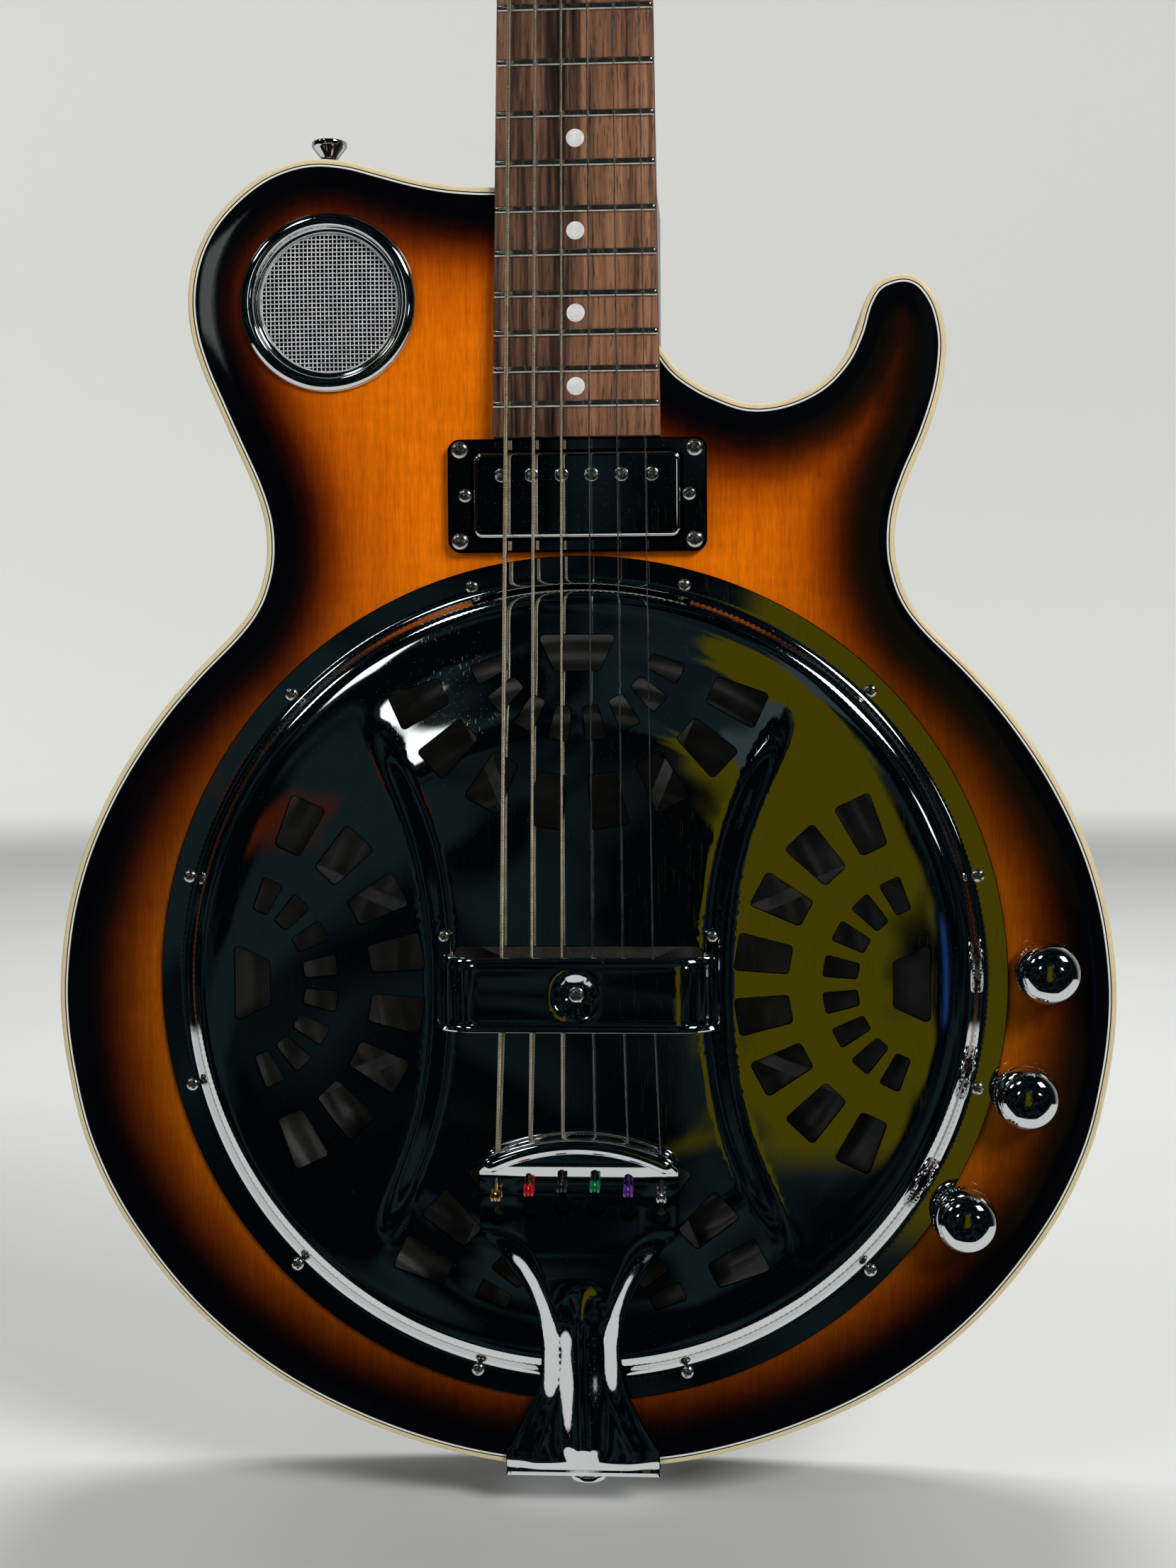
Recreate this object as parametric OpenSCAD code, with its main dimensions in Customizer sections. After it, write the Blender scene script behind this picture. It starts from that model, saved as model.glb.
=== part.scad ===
// Thin-body electric resonator guitar with a single cone.
// +Z runs up the neck, -Y is the playing face, +X is the treble side.
// The origin is the centre of the rim of the tail strap button's head, on the centreline.

/* [Body] */
// Depth of the body from top face to back face
body_depth = 60; // [54:1:76]
// Thickness of the top plate
top_t = 4.5; // [4:0.1:5]
// Thickness of the back plate
back_t = 4.5; // [3.5:0.1:5]
// Thickness of the bent sides
side_t = 3; // [2.6:0.1:3.4]
// Width of the edge binding
bind_w = 1.7; // [1.2:0.1:2]
// Depth of the edge binding down the side
bind_h = 6; // [5:0.5:8]

/* [Cover plate] */
// Outer diameter of the cover plate
plate_d = 286; // [282:1:290]
// Height of the raised channel above the top
channel_h = 12; // [11:0.5:12.5]
// Number of cover plate screws
screw_n = 12; // [6:1:16]
// Radius of the screw circle
screw_circle_r = 137.5; // [136.5:0.5:138.5]

/* [Neck] */
// Scale length from nut to saddle
scale_l = 648; // [640:1:656]
// Number of frets
fret_n = 21; // [18:1:21]
// Board width at the body end
board_w0 = 56; // [54:0.5:58]
// Board width at the nut
board_w1 = 42.8; // [41:0.2:45]
// Board thickness
board_t = 6; // [5:0.5:6.5]
// Backward tilt of the neck in degrees
tilt = 2.1; // [1.8:0.1:2.4]
// Backward angle of the headstock in degrees
head_a = 13; // [8:1:15]
// Thickness of the headstock
head_t = 14.5; // [13:0.5:16]

/* [Strings] */
// String centre height above the top at the saddle
saddle_h = 18; // [17.5:0.1:19]
// String spacing at the saddle
saddle_pitch = 10; // [9.6:0.1:10.4]
// String spacing at the nut
nut_pitch = 7.1; // [6.8:0.1:7.3]

/* [Controls] */
// Outer radius of a control knob
knob_r = 10.4; // [9:0.1:11]
// Height of a control knob's top above the body
knob_h = 18; // [16:0.5:21]

/* [Hidden] */
$fn = 64;
zc = 179.9;                       // plate centre above the origin
plate_r = plate_d/2;
open_r = 134.3;                   // opening in the top
well_r = 140.3;                   // outside of the soundwell
bz = -body_depth;                 // back face height in the plate frame
nut_y = (scale_l-182.3)/cos(tilt);// board length
board_end = 182.3;
board_h = 6.4;                    // board surface height at its body end
heel_z = 266;                     // body end at the neck
neck_x = 26.6;                    // body edge beside the neck
string_r = [0.67,0.53,0.41,0.23,0.19,0.16];
knob_pos = [[155,4],[148,-37.5],[128,-78.5]];
hole_c = [-83.5,228.5];
pick_z = 163.1;
post_v = [42,82,122];
post_x = 28;

// ---------- body outline: x across, y up from the plate centre ----------
bout = [[105.5,147],[106.5,138],[110,128],[117,118.5],[131,104.5],[144,89.5],[157,70.5],[167,51],[173.5,33],
        [177.5,14],[179,-8],[176.5,-32],[170,-58],[156.5,-85],[133.5,-114],[105,-137],[72,-153.5],[36,-164]];
treble = [[26.6,222],[26.8,215],[29.2,210.5],[33.5,205],[39,200.8],[46,197],[57,193.2],[68.5,194],[80,199],[88,207],
          [92.5,216],[95.5,226],[100,232.5],[108,235],[114.5,232.8],[119.5,226],[122,217],[122.3,208],[120.5,196],
          [116,182],[110,168],[106.5,157]];
bass = [[-106.5,157],[-110,168],[-116,181.5],[-121.5,194],[-127,207],[-130.5,219],[-131.5,231],[-129.5,243],
        [-124.5,254],[-117,263],[-107.5,270.5],[-98,274.8],[-88,276.6],[-77,275.6],[-66,272.6],[-55,269.5],
        [-45,267.4],[-35,266.3],[-27,266]];
ctrl = concat(treble, bout, [[0,-167]], [for (i=[len(bout)-1:-1:0]) [-bout[i][0],bout[i][1]]], bass);
nc = len(ctrl);
function cp(i) = ctrl[max(0,min(nc-1,i))];
function cr(i,t) = let(a=cp(i-1),b=cp(i),c=cp(i+1),d=cp(i+2))
    0.5*((2*b)+(c-a)*t+(2*a-5*b+4*c-d)*t*t+(3*b-a-3*c+d)*t*t*t);
function crd(i,t) = let(a=cp(i-1),b=cp(i),c=cp(i+1),d=cp(i+2))
    0.5*((c-a)+2*(2*a-5*b+4*c-d)*t+3*(3*b-a-3*c+d)*t*t);
function inset(p,t,d) = p + d*[t[1],-t[0]]/norm(t);
function outline_pts(d) = concat(
    [for (i=[0:nc-2], k=[0:2]) inset(cr(i,k/3),crd(i,k/3),d)],
    [[-27,heel_z-d],[neck_x-d,heel_z-d]]);
module outline(d) polygon(outline_pts(d));
module ring(a,b) difference() { outline(a); outline(b); }

// ---------- frames ----------
module pf() translate([0,-body_depth/2,zc]) rotate([90,0,0]) children();
module slab(h0,h1) translate([0,0,h0]) linear_extrude(h1-h0) children();
module nf() pf() translate([0,board_end,board_h]) rotate([-tilt,0,0]) children();
module hf() nf() translate([0,nut_y+5,-3.5]) rotate([-head_a,0,0]) children();
// the same frames as point functions, all ending in the plate frame
function n2p(p) = [p[0], board_end+p[1]*cos(tilt)+p[2]*sin(tilt), board_h-p[1]*sin(tilt)+p[2]*cos(tilt)];
function h2n(p) = [p[0], nut_y+5+p[1]*cos(head_a)+p[2]*sin(head_a), -3.5-p[1]*sin(head_a)+p[2]*cos(head_a)];
module along_x(x0,x1) translate([x0,0,0]) rotate([90,0,90]) linear_extrude(x1-x0) children();
module rod(p,q,r) { v=q-p; L=norm(v); translate(p) rotate([0,acos(v[2]/L),atan2(v[1],v[0])]) cylinder(r=r,h=L,$fn=24); }
module rrect(x,y,r) { union() { square([x-2*r,y],center=true); square([x,y-2*r],center=true);
    for (i=[-1,1],j=[-1,1]) translate([i*(x/2-r),j*(y/2-r)]) circle(r,$fn=32); } }

function board_hw(y) = board_w0/2 + (board_w1-board_w0)/2*y/nut_y;
module board_plan(y0,y1,g=0) polygon([[-board_hw(y0)-g,y0],[board_hw(y0)+g,y0],[board_hw(y1)+g,y1],[-board_hw(y1)-g,y1]]);
module tongue(g=0) { nf() translate([0,0,-18]) linear_extrude(12.01) polygon([[-18.6-g,14-g],[18.6+g,14-g],[18.6+g,90],[-18.6-g,90]]);
    pf() slab(-44-g,-6) polygon([[-19-g,222-g],[19+g,222-g],[19+g,heel_z+1],[-19-g,heel_z+1]]); }
module neck_cut() { nf() translate([0,0,-board_t]) linear_extrude(board_t+4) board_plan(-0.01,100); tongue(); }

// ---------- body shell ----------
module plate_screw_xy() for (i=[0:screw_n-1]) rotate(15+i*360/screw_n) translate([screw_circle_r,0]) children();
module body_top() color("darkorange") difference() {
    pf() difference() {
        slab(-top_t,0) outline(bind_w);
        slab(-1.5,1) ring(bind_w+0.4,bind_w+1);
        slab(-10,5) { circle(open_r,$fn=180); translate(hole_c) circle(26.5); plate_screw_xy() circle(1.3,$fn=24);
            translate([0,pick_z]) { square([71,32],center=true); for (s=[-1,1]) translate([s*37.4,0]) circle(2.6,$fn=24);
                for (i=[-1,1],j=[-1,1]) translate([i*39.2,j*15.2]) circle(1.3,$fn=24); }
            for (k=knob_pos) translate(k) circle(3.7,$fn=32); }
    }
    neck_cut();
}
module body_back() color("saddlebrown") pf() slab(bz,bz+back_t) outline(bind_w);
module jack_frame() { a=-40; n=[cos(a)/179,sin(a)/159]; pf() translate([179*cos(a),-8+159*sin(a),bz/2])
    rotate([0,0,atan2(n[1],n[0])]) rotate([0,90,0]) children(); }
module body_sides() color("saddlebrown") difference() {
    pf() union() { slab(bz+bind_h,-bind_h) ring(0,side_t);
        slab(bz+back_t,-top_t) ring(bind_w,side_t); }
    tongue();
    jack_frame() translate([0,0,-12]) cylinder(r=6.2,h=24,$fn=48);
    pf() translate([0,-150,bz/2]) rotate([90,0,0]) cylinder(r=1.9,h=30,$fn=24);
    pf() translate([-88,260,bz/2]) rotate([-90,0,0]) cylinder(r=1.9,h=30,$fn=24);
}
module linings() color("burlywood") difference() {
    pf() { slab(-top_t-11,-top_t) ring(side_t,side_t+5); slab(bz+back_t,bz+back_t+11) ring(side_t,side_t+5); }
    pf() slab(bz-1,1) { translate([-40,207]) square([76,70]); translate([-32,-175]) square([64,35]); circle(well_r+0.2,$fn=180); 
        translate(hole_c) circle(31); }
    jack_frame() translate([0,0,-40]) cylinder(r=8,h=60,$fn=32);
    pf() translate([-88,255,bz/2]) rotate([-90,0,0]) cylinder(r=1.9,h=30,$fn=24);
}
module neck_block() color("tan") difference() {
    pf() slab(bz+back_t,-top_t) intersection() { outline(side_t); translate([-40,207]) square([76,60]); }
    tongue();
    pf() slab(bz-1,1) translate(hole_c) circle(31);
}
module tail_block() color("tan") difference() {
    pf() slab(bz+back_t,-top_t) intersection() { outline(side_t); translate([-32,-172]) square([64,40]); }
    pf() slab(bz-1,1) circle(well_r+0.2,$fn=180);
    pf() translate([0,-145,bz/2]) rotate([90,0,0]) cylinder(r=1.9,h=30,$fn=24);
}
module soundwell() color("tan") pf() difference() {
    union() {
        slab(bz+back_t,-top_t) difference() { circle(well_r,$fn=180); circle(open_r,$fn=180); }
        slab(-16,-5.9) difference() { circle(open_r+0.1,$fn=180); circle(124.5,$fn=180); }
    }
    for (i=[0:9]) rotate(18+i*36) translate([120,0,-36]) rotate([0,90,0]) cylinder(r=12,h=30,$fn=48);
    slab(-12,0) plate_screw_xy() circle(1.3,$fn=24);
}
module body_braces() color("wheat") pf() {
    slab(-top_t-8,-top_t) translate([-90,184]) square([118,9]);
    slab(bz+back_t,bz+back_t+10) translate([-90,166]) square([180,10]);
}
module binding_top() color("cornsilk") difference() { pf() slab(-bind_h,0) ring(0,bind_w); neck_cut(); }
module binding_back() color("cornsilk") pf() slab(bz,bz+bind_h) ring(0,bind_w);
module purfling_white() color("white") difference() { pf() slab(-1.5,0) ring(bind_w+0.4,bind_w+1); neck_cut(); }

// ---------- neck ----------
head_side = [[21.4,-6],[21.6,4],[24,16],[30,28],[37,38],[39,52],[38.5,90],[37.5,125],[36,150],[31,163],[22,170],[11,173],[0,174]];
module head_plan() polygon(concat(head_side,[for (i=[len(head_side)-2:-1:0]) [-head_side[i][0],head_side[i][1]]]));
module c_section(d) polygon(concat([for (i=[0:24]) [29*cos(i*7.5),-board_t-d*pow(sin(i*7.5),0.8)]]));
module neck() color("saddlebrown") difference() {
    union() {
        difference() {
            nf() intersection() {
                translate([0,0,-80]) linear_extrude(80) board_plan(60,nut_y+5);
                union() {
                    translate([0,nut_y+5,0]) rotate([90,0,0]) linear_extrude(nut_y-65) c_section(15.5);
                    intersection() {
                        along_x(-40,40) polygon([[70,-board_t],[70,-52],[84,-52],[94,-51],[100,-47],[104,-40],[108,-31],[114,-25],[124,-21],[136,-19.5],[136,-board_t]]);
                        translate([0,140,0]) rotate([90,0,0]) linear_extrude(90) polygon([[-27.5,-board_t],[-27.5,-16],[-26,-30],[-20,-44],[-14,-50],[0,-52.5],[14,-50],[20,-44],[26,-30],[27.5,-16],[27.5,-board_t]]);
                    }
                }
            }
            pf() slab(-100,20) translate([-60,heel_z-200]) square([120,200]);
        }
        tongue();
        hf() translate([0,0,-head_t]) linear_extrude(head_t) head_plan();
        hf() intersection() { translate([0,0,-head_t-4]) linear_extrude(12) head_plan();
            along_x(-22,22) polygon([[-12,-6],[-12,-19],[2,-18.5],[12,-16.5],[20,-head_t],[20,-6]]); }
    }
    nf() translate([-40,-1,-board_t]) cube([80,nut_y+6,30]);
    nf() translate([0,86,-10.5]) rotate([-90,0,0]) cylinder(r=2.6,h=nut_y-80,$fn=32);
    hf() translate([-5,2,-10.5]) cube([10,30,12]);
    for (s=[-1,1],v=post_v) hf() translate([s*post_x,v,-20]) cylinder(r=4.6,h=30,$fn=40);
}
module truss_rod() color("silver") nf() { translate([0,87,-10.5]) rotate([-90,0,0]) cylinder(r=2.5,h=nut_y-70,$fn=32);
    translate([0,nut_y+9.5,-10.5]) rotate([-90,0,0]) cylinder(r=3.5,h=9,$fn=6); }
function fret_y(n) = nut_y-scale_l*(1-pow(2,-n/12));
dot_frets = [3,5,7,9,15,17,19,21];
module dots_xy() { for (n=dot_frets) translate([0,(fret_y(n)+fret_y(n-1))/2]) circle(3,$fn=32);
    for (s=[-1,1]) translate([s*9.5,(fret_y(12)+fret_y(11))/2]) circle(3,$fn=32); }
module fretboard() color("#4a2417") nf() difference() {
    translate([0,0,-board_t]) linear_extrude(board_t) board_plan(0,nut_y);
    for (n=[1:fret_n]) translate([-40,fret_y(n)-0.3,-1.6]) cube([80,0.6,3]);
    translate([0,0,-1.5]) linear_extrude(3) dots_xy();
}
module frets() color("silver") nf() for (n=[1:fret_n]) { y=fret_y(n); w=board_hw(y)-0.2;
    along_x(-w,w) translate([y,0]) polygon([[-1.25,0],[-1.05,0.5],[-0.5,0.9],[0,1],[0.5,0.9],[1.05,0.5],[1.25,0],[0.3,0],[0.3,-1.5],[-0.3,-1.5],[-0.3,0]]); }
module position_dots() color("white") nf() translate([0,0,-1.5]) linear_extrude(1.5) dots_xy();
module nut() color("ivory") difference() {
    nf() translate([-21.4,nut_y,-board_t]) cube([42.8,5,board_t+2]);
    pf() for (i=[0:5]) { r=string_r[i]*1.15+0.06; p=nut_p(i);
        rod(p+(sad_p(i)-p)/60,p,r); rod(p,p+(wind_p(i)-p)/6,r); translate(p) sphere(r=r*1.15,$fn=24); }
}
module truss_rod_cover() color("black") hf() difference() {
    linear_extrude(2) polygon([[-8,3],[8,3],[11,10],[11,16],[6,24],[5,34],[0,38],[-5,34],[-6,24],[-11,16],[-11,10]]);
    for (p=[[-7.5,9],[7.5,9],[0,33.5]]) translate([p[0],p[1],-1]) cylinder(r=1,h=5,$fn=20);
}

// ---------- resonator ----------
module fan_holes() for (k=[0:3]) rotate(k*90) {
    polygon([[-7.5,104.5],[7.5,104.5],[13,116.5],[-13,116.5]]);
    for (b=[9.5,28.5,47,65], s=[-1,1], m=[[26.7,38],[49.5,67.5]])
        polygon([for (q=[[m[0],-5.3],[m[0],5.3],[m[1],5.3],[m[1],-5.3]]) [q[0]*sin(s*b+q[1]),119-q[0]*cos(s*b+q[1])]]);
}
hour = [[47.5,0],[48,15],[49.5,30],[52.5,45],[57.5,60],[64.5,75],[73,90],[86,108],[100,126]];
module hourglass(d) polygon([for (s=[[1,1],[-1,1],[-1,-1],[1,-1]]) each
    let(v=[for (p=hour) [s[0]*(p[0]-d),s[1]*p[1]]]) (s[0]*s[1]>0 ? v : [for (i=[len(v)-1:-1:0]) v[i]])]);
module dome_out() rotate_extrude($fn=180) polygon([[0,0],[plate_r,0],[plate_r,0.8],[plate_r-0.4,1.2],[134.8,1.2],[131.6,5.4],[129.5,6.4],[122,7],[90,7.9],[50,8.7],[0,9.2]]);
module dome_in() rotate_extrude($fn=180) polygon([[0,-1],[133.8,-1],[133.8,0.2],[130.6,4.6],[129,5.3],[122,5.9],[90,6.8],[50,7.6],[0,8.1]]);
module cap(t) intersection() { translate([0,0,-0.5]) linear_extrude(20) hourglass(t);
    rotate_extrude($fn=180) polygon([[0,-0.5],[124-t,-0.5],[124-t,6.9-t],[122-t,7.6-t],[115,channel_h-3.1-t],[100,channel_h-1.7-t],[90,channel_h-1.1-t],[60,channel_h-0.2-t],[0,channel_h-t]]); }
module cover_plate() color("silver") pf() difference() {
    union() { dome_out(); intersection() { cap(0); slab(0,30) circle(130); } }
    dome_in(); cap(1);
    slab(-1,30) { fan_holes(); translate([-41.5,-14]) square([83,27]); plate_screw_xy() circle(1.3,$fn=24);
        for (s=[-1,1]) translate([s*44.6,16.5]) circle(1.1,$fn=20); }
}
module dome_head(r,h) intersection() { cylinder(r=r,h=h,$fn=24); translate([0,0,h-(r*r+h*h)/(2*h)]) sphere(r=(r*r+h*h)/(2*h),$fn=30); }
module cover_plate_screws() color("gainsboro") pf() {
    plate_screw_xy() { translate([0,0,1.2]) dome_head(2.1,1.5); translate([0,0,-9]) cylinder(r=1.2,h=10.3,$fn=24); }
    for (s=[-1,1]) translate([s*44.6,16.5,0]) { translate([0,0,13]) dome_head(1.8,1.1); translate([0,0,9.5]) cylinder(r=1,h=3.6,$fn=20); }
}
module palm_rest() color("silver") pf() difference() {
    union() {
        translate([0,10.5,0]) rotate([90,0,0]) linear_extrude(24.5) difference() {
            polygon(concat([[-46,12.05]],[for (i=[0:12]) [-33-13*cos(i*7.5),12.05+12.5*sin(i*7.5)]],[for (i=[12:-1:0]) [33+13*cos(i*7.5),12.05+12.5*sin(i*7.5)]]));
            polygon(concat([[-44.8,12]],[for (i=[0:12]) [-33-11.8*cos(i*7.5),12.05+11.3*sin(i*7.5)]],[for (i=[12:-1:0]) [33+11.8*cos(i*7.5),12.05+11.3*sin(i*7.5)]],[[44.8,12]]));
        }
        for (s=[-1,1]) translate([s*44.6-1.9,-14,12.05]) cube([3.8,33,0.95]);
        translate([0,0,21.2]) cylinder(r1=5,r2=8.6,h=2.4,$fn=48);
    }
    translate([0,0,22.2]) cylinder(r1=2.9,r2=7.3,h=2.4,$fn=48);
    translate([0,0,15]) cylinder(r=2.9,h=12,$fn=40);
    for (s=[-1,1]) translate([s*44.6,16.5,0]) cylinder(r=1.1,h=20,$fn=20);
}
cone_p = [[133.3,-5],[123.5,-5],[119.5,-9],[50,-31],[42,-33],[34,-32],[24,-22],[16,-20],[2.2,-20]];
module resonator_cone() color("lightgray") pf() rotate_extrude($fn=180)
    polygon(concat(cone_p,[for (i=[len(cone_p)-1:-1:0]) [cone_p[i][0],cone_p[i][1]-0.9]]));
module spider_bridge() color("darkgray") pf() difference() {
    union() {
        slab(-2.5,4) circle(25);
        slab(3.9,10) difference() { square([60,11],center=true); square([56.2,3.3],center=true); }
        for (i=[0:7]) rotate(22.5+i*45) translate([0,-2,0]) rotate([90,0,0]) translate([0,0,-4]) linear_extrude(4)
            polygon([[18,-2.5],[18,3.6],[60,2.2],[129,-1.6],[129,-5],[125,-5],[121.5,-3.6],[60,-1.4]]);
    }
    translate([0,0,-20]) cylinder(r=2.15,h=50,$fn=32);
    translate([0,0,4]) cylinder(r=4.2,h=10,$fn=40);
}
module saddle() color("burlywood") pf() difference() {
    for (s=[-1,1]) translate([s*17-11,-1.6,4]) cube([22,3.2,saddle_h-4.1]);
    for (i=[0:5]) translate([(i-2.5)*saddle_pitch,-4,saddle_h]) rotate([-90,0,0]) cylinder(r=string_r[i]+0.15,h=8,$fn=20);
}
module tension_screw() color("silver") pf() difference() {
    union() { translate([0,0,-26]) cylinder(r=2,h=33,$fn=32); translate([0,0,4]) cylinder(r=3.6,h=3.4,$fn=40);
        translate([0,0,-24.1]) cylinder(r=4,h=3.2,$fn=6); }
    translate([-4,-0.5,6.4]) cube([8,1,3]);
}

// ---------- tailpiece and strings ----------
tp_half = [[26.2,-170],[26.2,-164],[24.5,-158],[19,-148],[15,-138],[13.6,-130],[13.4,-121],[15,-112],[19,-102],[25,-93],[27.5,-88],[31.5,-85],[33.2,-82],[33.2,-58]];
arc_r = 70;
module tp_plan() union() { polygon(concat([for (p=tp_half) [p[0],p[1]]],[for (i=[len(tp_half)-1:-1:0]) [-tp_half[i][0],tp_half[i][1]]]));
    intersection() { translate([0,-120]) circle(arc_r-2,$fn=120); translate([-33.2,-60]) square([66.4,12]); } }
function arc2(c,r,a0,a1,n) = [for (i=[0:n]) c+r*[cos(a0+(a1-a0)*i/n),sin(a0+(a1-a0)*i/n)]];
tp_in = concat([[-167,-42],[-167,0]],arc2([-164.7,0],2.3,180,90,6),[[-130,7],[-122,8.4],[-115,9.6],[-88,12.4],[-70,13.2],[-58,16.2],[-51,18]]);
tp_out = concat([[-168.2,-42],[-168.2,0]],arc2([-164.7,0],3.5,180,90,6),[[-130,8.2],[-122,9.6],[-115,10.8],[-88,13.6],[-70,14.4],[-58,17.4],[-51,19.2]]);
key_x = [for (i=[0:5]) (i-2.5)*11];
key_z = [-77.5,-75.5,-74,-74,-75.5,-77.5];
module tailpiece() color("silver") pf() difference() {
    union() {
        intersection() { slab(-43,25) tp_plan();
            along_x(-40,40) polygon(concat(tp_in,[for (i=[len(tp_out)-1:-1:0]) tp_out[i]])); }
        translate([0,-120,18.6]) rotate([0,0,62]) rotate_extrude(angle=56,$fn=120) translate([arc_r-2.4,0]) circle(2.4,$fn=32);
    }
    slab(5,18) for (i=[0:5]) { translate([key_x[i],key_z[i]]) circle(2.65,$fn=32); translate([key_x[i]-0.85,key_z[i]]) square([1.7,13.5]); }
    translate([0,-160,bz/2]) rotate([90,0,0]) cylinder(r=2,h=20,$fn=32);
}
function ball_p(i) = [key_x[i],key_z[i]+8,16.6+0.25*(key_z[i]+78)];
function slot_p(i) = [key_x[i],key_z[i]+9,13.5];
function sad_p(i) = [(i-2.5)*saddle_pitch,0,saddle_h];
function nut_p(i) = n2p([(i-2.5)*nut_pitch,nut_y+2.5,1.75+string_r[i]]);
function post_s(i) = i<3 ? -1 : 1;
function post_i(i) = i<3 ? i : 5-i;
function wind_p(i) = n2p(h2n([post_s(i)*(post_x-4.2),post_v[post_i(i)]-5.3,9]));
module ball_ends() color("gold") pf() for (i=[0:5]) translate(ball_p(i)) difference() {
    rotate([0,90,0]) translate([0,0,-1.6]) cylinder(r=2.1,h=3.2,$fn=40);
    rotate([0,90,0]) translate([0,0,-3]) cylinder(r=0.8,h=6,$fn=24); }
// joined rods stop short of the corner, inside a slightly larger ball
module link(p,q,r,e=1) { d=(q-p)/norm(q-p)*r*0.5; rod(p+d,q-d*e,r); }
module one_string(i) { r=string_r[i];
    rod(ball_p(i)+[0,0,-2.9],slot_p(i)+[0,0,r*0.5],r); translate(slot_p(i)) sphere(r=r*1.15,$fn=24);
    link(slot_p(i),sad_p(i),r); translate(sad_p(i)) sphere(r=r*1.15,$fn=24);
    link(sad_p(i),nut_p(i),r); translate(nut_p(i)) sphere(r=r*1.15,$fn=24);
    link(nut_p(i),wind_p(i),r,0); }
module strings_wound() color("peru") pf() for (i=[0:2]) one_string(i);
module strings_plain() color("silver") pf() for (i=[3:5]) one_string(i);
module button() { rotate_extrude($fn=64) polygon([[0,0],[4.2,0],[4.2,0.6],[3,3.2],[3,6.8],[6.1,11],[6.1,12.4],[5.4,13],[0,13]]);
    translate([0,0,-20]) cylinder(r=1.8,h=20.5,$fn=32); }
module strap_buttons() color("silver") pf() {
    translate([0,-168.2,bz/2]) rotate([90,0,0]) button();
    translate([-88,276.75,bz/2]) rotate([-90,0,0]) button(); }

// ---------- pickup and soundhole ----------
module pickup_ring() color("silver") pf() translate([0,pick_z,0]) difference() {
    slab(0,3.4) rrect(86.6,37.6,4);
    slab(-1,5) rrect(70,29.2,3.4);
    for (s=[-1,1]) translate([s*37.4,0,-1]) cylinder(r=1.5,h=8,$fn=24);
    for (i=[-1,1],j=[-1,1]) translate([i*39.2,j*15.2,-1]) cylinder(r=1.3,h=8,$fn=24); }
pole_z = 6.5;
module pickup_cover() color("silver") pf() translate([0,pick_z,0]) difference() {
    slab(-12,5.5) rrect(69,28.2,3);
    slab(-13,4.7) rrect(67.4,26.6,2.2);
    for (i=[0:5]) translate([(i-2.5)*10,pole_z,0]) cylinder(r=2.35,h=8,$fn=32); }
module pickup_coils() color("dimgray") pf() translate([0,pick_z,0]) difference() {
    union() { slab(-10.5,4.6) rrect(66,11.5,5.7); 
        for (j=[-1,1]) translate([0,j*6.6,0]) slab(-10.5,4.6) rrect(66,12.4,6);
        slab(-13.5,-12) square([66,26],center=true); slab(-12,-10.4) square([60,22],center=true);
        for (s=[-1,1]) translate([s*37.4,0,0]) slab(-13.5,-12) square([10,10],center=true); }
    for (i=[0:5]) translate([(i-2.5)*10,pole_z,-20]) cylinder(r=1.6,h=30,$fn=24);
    for (i=[0:5]) translate([(i-2.5)*10,pole_z,3.6]) cylinder(r=2.35,h=4,$fn=32);
    for (s=[-1,1]) translate([s*37.4,0,-20]) cylinder(r=1.45,h=30,$fn=24); }
module pickup_screws() color("gainsboro") pf() translate([0,pick_z,0]) {
    for (i=[0:5]) translate([(i-2.5)*10,pole_z,0]) difference() {
        union() { translate([0,0,-16]) cylinder(r=1.55,h=20,$fn=24); translate([0,0,3.7]) cylinder(r=2.3,h=2.2,$fn=32); }
        translate([-3,-0.35,5.3]) cube([6,0.7,2]); }
    for (i=[-1,1],j=[-1,1]) translate([i*39.2,j*15.2,0]) { translate([0,0,3.4]) dome_head(2.75,1.8); translate([0,0,-8]) cylinder(r=1.2,h=11.5,$fn=24); }
    for (s=[-1,1]) translate([s*37.4,0,0]) { translate([0,0,3.4]) dome_head(2.2,1.4); translate([0,0,-17]) cylinder(r=1.4,h=20.5,$fn=24); } }
module soundhole_ring() color("silver") pf() translate([hole_c[0],hole_c[1],0]) rotate_extrude($fn=96)
    polygon([[23.8,-5.5],[26.4,-5.5],[26.4,0],[30,0],[30,1],[29,2.2],[27,2.8],[25.4,2.6],[24.2,1.6],[23.8,0.4]]);
module soundhole_mesh() color("silver") pf() translate([hole_c[0],hole_c[1],-2]) intersection() {
    translate([0,0,-1]) cylinder(r=23.75,h=3,$fn=96);
    union() { difference() { cylinder(r=24,h=0.8,$fn=96); translate([0,0,-1]) cylinder(r=22.4,h=3,$fn=96); }
        for (i=[-4:4]) translate([i*5-0.45,-24,0]) cube([0.9,48,0.8]);
        for (i=[-4:4]) translate([-24,i*5-0.45,0]) cube([48,0.9,0.8]); } }

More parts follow.
